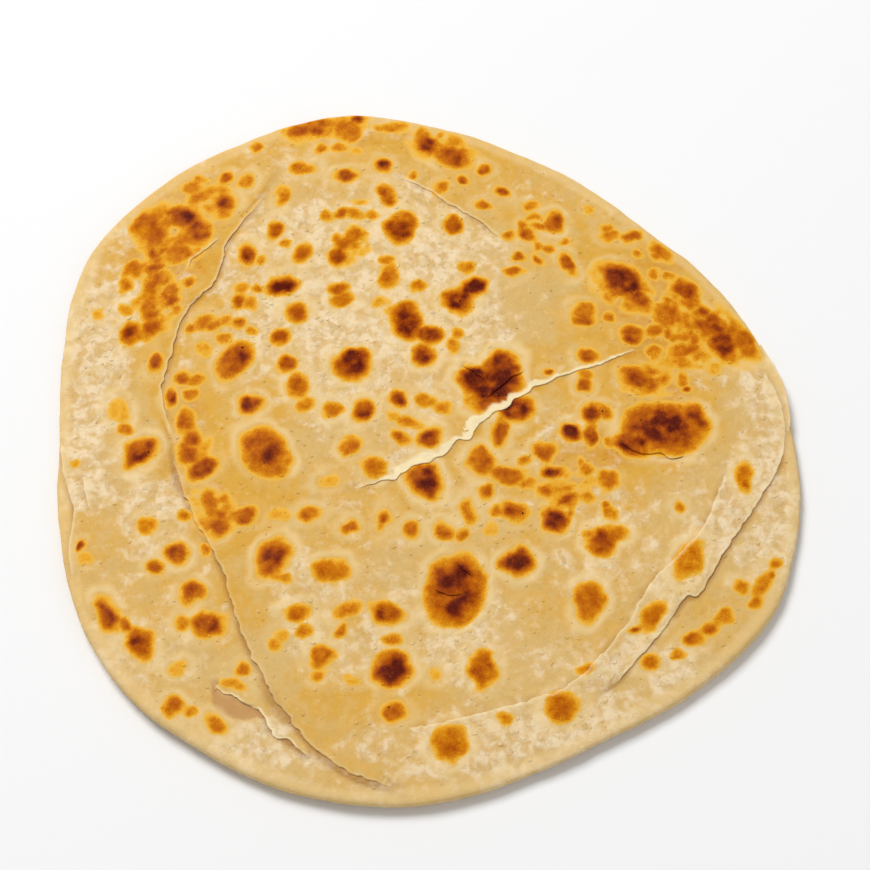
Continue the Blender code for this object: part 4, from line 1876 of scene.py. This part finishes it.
@dataclass(frozen=True)
class Scatter:
    """Small bits of one kind, scattered over the body.

    Attributes:
        name: Name of their piece.
        chance: Name of the number on the body's points that says how likely a bit is.
        density: Bits a square metre where the chance is 1.
        gap: Least distance between two bits, in metres.
        size: Middle radius of a bit, in metres.
        flat: Height of a bit as a share of its radius.
        rough: How far its surface strays, in metres.
        seed: Seed of the places and sizes.
    """

    name: str
    chance: str
    density: float
    gap: float
    size: float
    flat: float
    rough: float
    seed: int

    # Least and greatest size of a bit, as shares of the middle one.
    LOW = 0.6
    HIGH = 1.5
    SLIMNESS = 0.8

    def _spread(self, graph: Graph, given: object) -> tuple[object, object]:
        """Add the nodes that put the bits' points on the body.

        Args:
            graph: The tree.
            given: The tree's inputs.

        Returns:
            The points and the turns of the bits.
        """
        spread = graph.add(
            "GeometryNodeDistributePointsOnFaces", {"distribute_method": "POISSON"},
            Mesh=given["Geometry"], Distance_Min=given["Gap"], Density_Max=given["Density"],
            Density_Factor=named(graph, self.chance), Seed=given["Seed"],
        )
        spin = graph.add(
            "FunctionNodeRandomValue", {"data_type": "FLOAT"}, _3=math.tau, Seed=given["Seed"],
        )
        about = graph.add("FunctionNodeAxisAngleToRotation", Angle=spin.outputs[1])
        turned = graph.add(
            "FunctionNodeRotateRotation", {"rotation_space": "LOCAL"},
            _0=spread.outputs["Rotation"], _1=about.outputs[0],
        )
        return spread.outputs["Points"], turned.outputs[0]

    def _tree(self) -> bpy.types.NodeTree:
        """Build the tree that spreads the bits.

        Returns:
            The tree.
        """
        graph = geometry_tree(
            f"scatter {self.name}", Density="Float", Gap="Float", Size="Float",
            Flatness="Float", Roughness="Float", Seed="Int", Material="Material",
        )
        given = graph.add("NodeGroupInput").outputs
        points, turns = self._spread(graph, given)
        bit = graph.add("GeometryNodeMeshIcoSphere", Radius=1.0, Subdivisions=3)
        vary = graph.add(
            "FunctionNodeRandomValue", {"data_type": "FLOAT_VECTOR"},
            _0=(self.LOW,) * 3, _1=(self.HIGH,) * 3, Seed=given["Seed"],
        )
        slim = graph.add("ShaderNodeCombineXYZ", X=1.0, Y=self.SLIMNESS, Z=given["Flatness"])
        scale = graph.vector("MULTIPLY", _0=vary.outputs[0], _1=slim.outputs[0])
        scale = graph.vector("SCALE", _0=scale, Scale=given["Size"])
        placed = graph.add(
            "GeometryNodeInstanceOnPoints",
            Points=points, Instance=bit.outputs[0], Rotation=turns, Scale=scale,
        )
        real = graph.add("GeometryNodeRealizeInstances", Geometry=placed.outputs[0])
        place = graph.add("GeometryNodeInputPosition").outputs[0]
        finer = graph.math("DIVIDE", 0.9, given["Size"])
        bumps = graph.add("ShaderNodeTexNoise", Vector=place, Scale=finer, Detail=2.0)
        stray = graph.vector("SUBTRACT", _0=bumps.outputs["Color"], _1=(0.5, 0.5, 0.5))
        away = graph.vector("SCALE", _0=stray, Scale=given["Roughness"])
        moved = graph.add("GeometryNodeSetPosition", Geometry=real.outputs[0], Offset=away)
        smooth = graph.add("GeometryNodeSetShadeSmooth", Geometry=moved.outputs[0])
        end_tree(graph, smooth.outputs[0], given["Material"])
        return graph.tree

    def build(self, body: Dough, material: bpy.types.Material) -> bpy.types.Object:
        """Scatter the bits over the body.

        Args:
            body: The bread's body, with the chance stored on its points.
            material: The bits' material.

        Returns:
            The bits as one piece.
        """
        mesh = with_nodes(
            body.piece, self._tree(), Density=self.density, Gap=self.gap, Size=self.size,
            Flatness=self.flat, Roughness=self.rough, Seed=self.seed, Material=material,
        )
        mesh.name = self.name
        piece = place_object(self.name, mesh)
        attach(piece, BODY)
        LOG.info("%s: %d faces", self.name, len(mesh.polygons))
        return piece


# ------------------------------------------------------------------ the bread

class Paratha:
    """The whole bread: its form, its pieces and their dressing."""

    SEED = 11
    UNDER_SEED = 61
    UNDER_MARKS_SEED = 67
    # Height under which the body's downward faces are its underside.
    UNDER_Z = 0.0017
    UNDER_MARKS = 74
    UNDER_REACH = 0.102
    # How much the glow of the marks adds to the golden skin.
    GLOW_SHARE = 0.6
    # How far the pale rings fade on golden skin.
    RING_FADE = 0.75
    # The pale band inside the rim: how pale it is, where it ends and starts, and how it strays.
    RIM_PALE = 0.6
    RIM_BAND = (0.0052, 0.0030)
    RIM_STRAY = 0.0008
    # Share of the round that the scattered bits keep to.
    BITS_REACH = 0.97
    CHAR_CRUMBS = Scatter(
        name="char_crumbs", chance="crumbs", density=60000.0, gap=0.0020, size=0.00028,
        flat=0.7, rough=0.00025, seed=5,
    )
    WHITE_BLISTERS = Scatter(
        name="white_blisters", chance="blisters", density=60000.0, gap=0.0016, size=0.00048,
        flat=0.40, rough=0.0001, seed=9,
    )
    FLOUR_FLAKES = Scatter(
        name="flour_flakes", chance="flakes", density=60000.0, gap=0.0013, size=0.00060,
        flat=0.30, rough=0.0004, seed=14,
    )

    def __init__(self) -> None:
        """Settle the marks and the skin, and read the form from the solid."""
        self.edges = (*LAYER_EDGES, TORN_SEAM, TORN_SKIN, *BLISTER_LIPS)
        self.skin = Skin(self.edges)
        self.browning = Browning(self.SEED, TINTS + CROWN_MARKS + RIM_MARKS, FRECKLES)
        self.underside = Browning(self.UNDER_SEED, self._underside_marks(), ())
        self.form = Form(self.browning, self.skin)
        self.pieces: list[Dough] = []

    def _underside_marks(self) -> list[Mark]:
        """Draw the toasted marks of the face that lies down.

        Returns:
            The marks.
        """
        rng = np.random.default_rng(self.UNDER_MARKS_SEED)
        drawn = []
        for _ in range(self.UNDER_MARKS):
            bearing = rng.uniform(0.0, math.tau)
            away = self.UNDER_REACH * math.sqrt(rng.uniform(0.0, 1.0))
            length = rng.uniform(0.005, 0.016)
            toast = rng.choice([Toast.GOLD, Toast.BROWN, Toast.BROWN, Toast.DARK])
            width = length * rng.uniform(0.6, 1.0)
            turn = rng.uniform(0, 180)
            x, y = away * math.cos(bearing), away * math.sin(bearing)
            drawn.append(Mark(x, y, length, width, turn, toast))
        return drawn

    def build(self) -> None:
        """Build the body and a sheet for every free edge."""
        self.pieces = [Body().build(self.form)]
        self.pieces.extend(FreeEdge(edge).build(self.form) for edge in self.edges)

    def _dress_points(self, dough: Dough, edge: LayerEdge | None) -> None:
        """Store what the finish needs on a piece's points.

        Args:
            dough: The piece.
            edge: The edge that its sheet shows, or None for the body.
        """
        place = dough.read("co", 3)
        x, y = place[:, 0], place[:, 1]
        upward = dough.read("normal", 3)[:, 2] > 0.0
        under = ~upward & (place[:, 2] < self.UNDER_Z) & (edge is None)
        above, below = self.browning.tones(x, y), self.underside.tones(x, y)
        toast = np.where(under, below.toast, above.toast)
        plain_gold = self.skin.golden(x, y)
        glow = np.where(under, below.glow, above.glow)
        gold = np.clip(plain_gold + glow * self.GLOW_SHARE, 0.0, 1.0)
        ring = np.where(under, below.ring, above.ring)
        ring = ring * (1.0 - self.RING_FADE * smooth_step(0.25, 0.65, plain_gold))
        rim, away = self.form.reach(np.arctan2(y, x)), np.hypot(x, y)
        from_rim = rim - away + self.RIM_STRAY * self.form.wavy(x, y)
        ring = np.maximum(ring, self.RIM_PALE * smooth_step(*self.RIM_BAND, from_rim))
        flour = self.skin.floury(x, y, edge)
        # Painted shade in the gaps beside layer edges and in hollows, stored for the finish.
        crease = np.where(under, 0.0, self.skin.crease_shade_and_depth(x, y, edge))
        torn = np.where(under | (edge is TORN_SKIN), 0.0, self.skin.torn(x, y))
        plain = (1.0 - smooth_step(0.05, 0.4, toast)) * np.where(under, 0.25, 1.0)
        dough.store(
            toast=toast, ring=ring, flour=flour, gold=gold, crease=crease, torn=torn,
            lumpy=plain * (0.35 + 0.65 * flour),
            wrinkled=np.where(under, 0.2, 1.0) * smooth_step(0.45, 0.9, toast) + 0.15 * plain,
        )
        if edge is None:
            open_top = np.where(upward & (away / rim < self.BITS_REACH), 1.0, 0.0)
            dough.store(
                bare=np.zeros(len(x)),
                crumbs=open_top * smooth_step(0.35, 0.9, toast) * 0.15,
                blisters=open_top * plain * smooth_step(0.75, 0.3, flour) * 0.5,
                flakes=open_top * plain * smooth_step(0.55, 0.9, flour) * 0.8,
            )

    def dress(self) -> None:
        """Give every piece its relief and finish, and scatter the small bits."""
        grain = speckle_group()
        cooked = DoughFinish().material(grain)
        char = CharFinish().material(grain)
        relief = Relief()
        for dough, edge in zip(self.pieces, (None, *self.edges)):
            self._dress_points(dough, edge)
            relief.shape(dough, cooked)
        body = self.pieces[0]
        self.CHAR_CRUMBS.build(body, char)
        self.WHITE_BLISTERS.build(body, cooked)
        self.FLOUR_FLAKES.build(body, cooked)
        for dough in self.pieces:
            dough.hand_over()


# ------------------------------------------------------------------ studio

@dataclass(frozen=True)
class Lamp:
    """A square soft light that faces the bread.

    Attributes:
        name: Its name.
        place: Where it hangs, in metres.
        size: Its side, in metres.
        power: Its power, in watts.
    """

    name: str
    place: tuple[float, float, float]
    size: float
    power: float


@dataclass
class Studio:
    """A plain pale floor, soft lights and the camera."""

    floor_side: float = 6.0
    floor_drop: float = 0.0003
    lamps: tuple[Lamp, ...] = (
        Lamp("key light", (-0.70, 0.90, 1.70), 0.90, 32.0),
        Lamp("fill light", (0.7, -0.5, 0.8), 1.2, 2.0),
    )
    sky_strength: float = 0.35
    elevation: float = math.radians(64.0)
    distance: float = 0.6055
    lens: float = 85.0
    sensor: float = 36.0
    aim: tuple[float, float, float] = (0.0027, -0.0006, 0.0040)

    def floor(self) -> None:
        """Lay the floor."""
        bm = bmesh.new()
        bmesh.ops.create_grid(bm, x_segments=4, y_segments=4, size=0.5 * self.floor_side)
        bmesh.ops.translate(bm, vec=Vector((0.0, 0.0, -self.floor_drop)), verts=bm.verts)
        mesh = bpy.data.meshes.new("floor")
        bm.to_mesh(mesh)
        bm.free()
        made, graph, shader = new_material("pale floor")
        graph.give(shader, Base_Color=colour(246, 246, 246), Roughness=0.9)
        mesh.materials.append(made)
        place_object("floor", mesh)

    def light(self, lamp: Lamp) -> None:
        """Hang a light.

        Args:
            lamp: The light.
        """
        data = bpy.data.lights.new(lamp.name, "AREA")
        data.size, data.energy = lamp.size, lamp.power
        hung = place_object(lamp.name, data)
        hung.location = lamp.place
        hung.rotation_euler = Vector(lamp.place).to_track_quat("Z", "Y").to_euler()

    def sky(self) -> None:
        """Light the scene evenly from all round."""
        world = bpy.data.worlds.new("studio")
        world.use_nodes = True
        back = world.node_tree.nodes["Background"]
        back.inputs["Color"].default_value = (1.0, 1.0, 1.0, 1.0)
        back.inputs["Strength"].default_value = self.sky_strength
        bpy.context.scene.world = world

    def camera(self) -> None:
        """Set up the camera, which looks down along +Y."""
        data = bpy.data.cameras.new("camera")
        data.lens, data.sensor_width = self.lens, self.sensor
        data.clip_start = 0.01
        eye = place_object("camera", data)
        back = Vector((0.0, -math.cos(self.elevation), math.sin(self.elevation)))
        eye.location = Vector(self.aim) + back * self.distance
        eye.rotation_euler = (math.pi / 2.0 - self.elevation, 0.0, 0.0)
        bpy.context.scene.camera = eye

    def build(self) -> None:
        """Set up the whole studio."""
        self.floor()
        for lamp in self.lamps:
            self.light(lamp)
        self.sky()
        self.camera()
        bpy.context.scene.view_settings.view_transform = "Standard"


def main() -> None:
    """Build the studio and the bread."""
    logging.basicConfig(level=logging.INFO, format="%(name)s: %(message)s")
    Studio().build()
    bread = Paratha()
    bread.build()
    bread.dress()


if __name__ == "__main__":
    main()
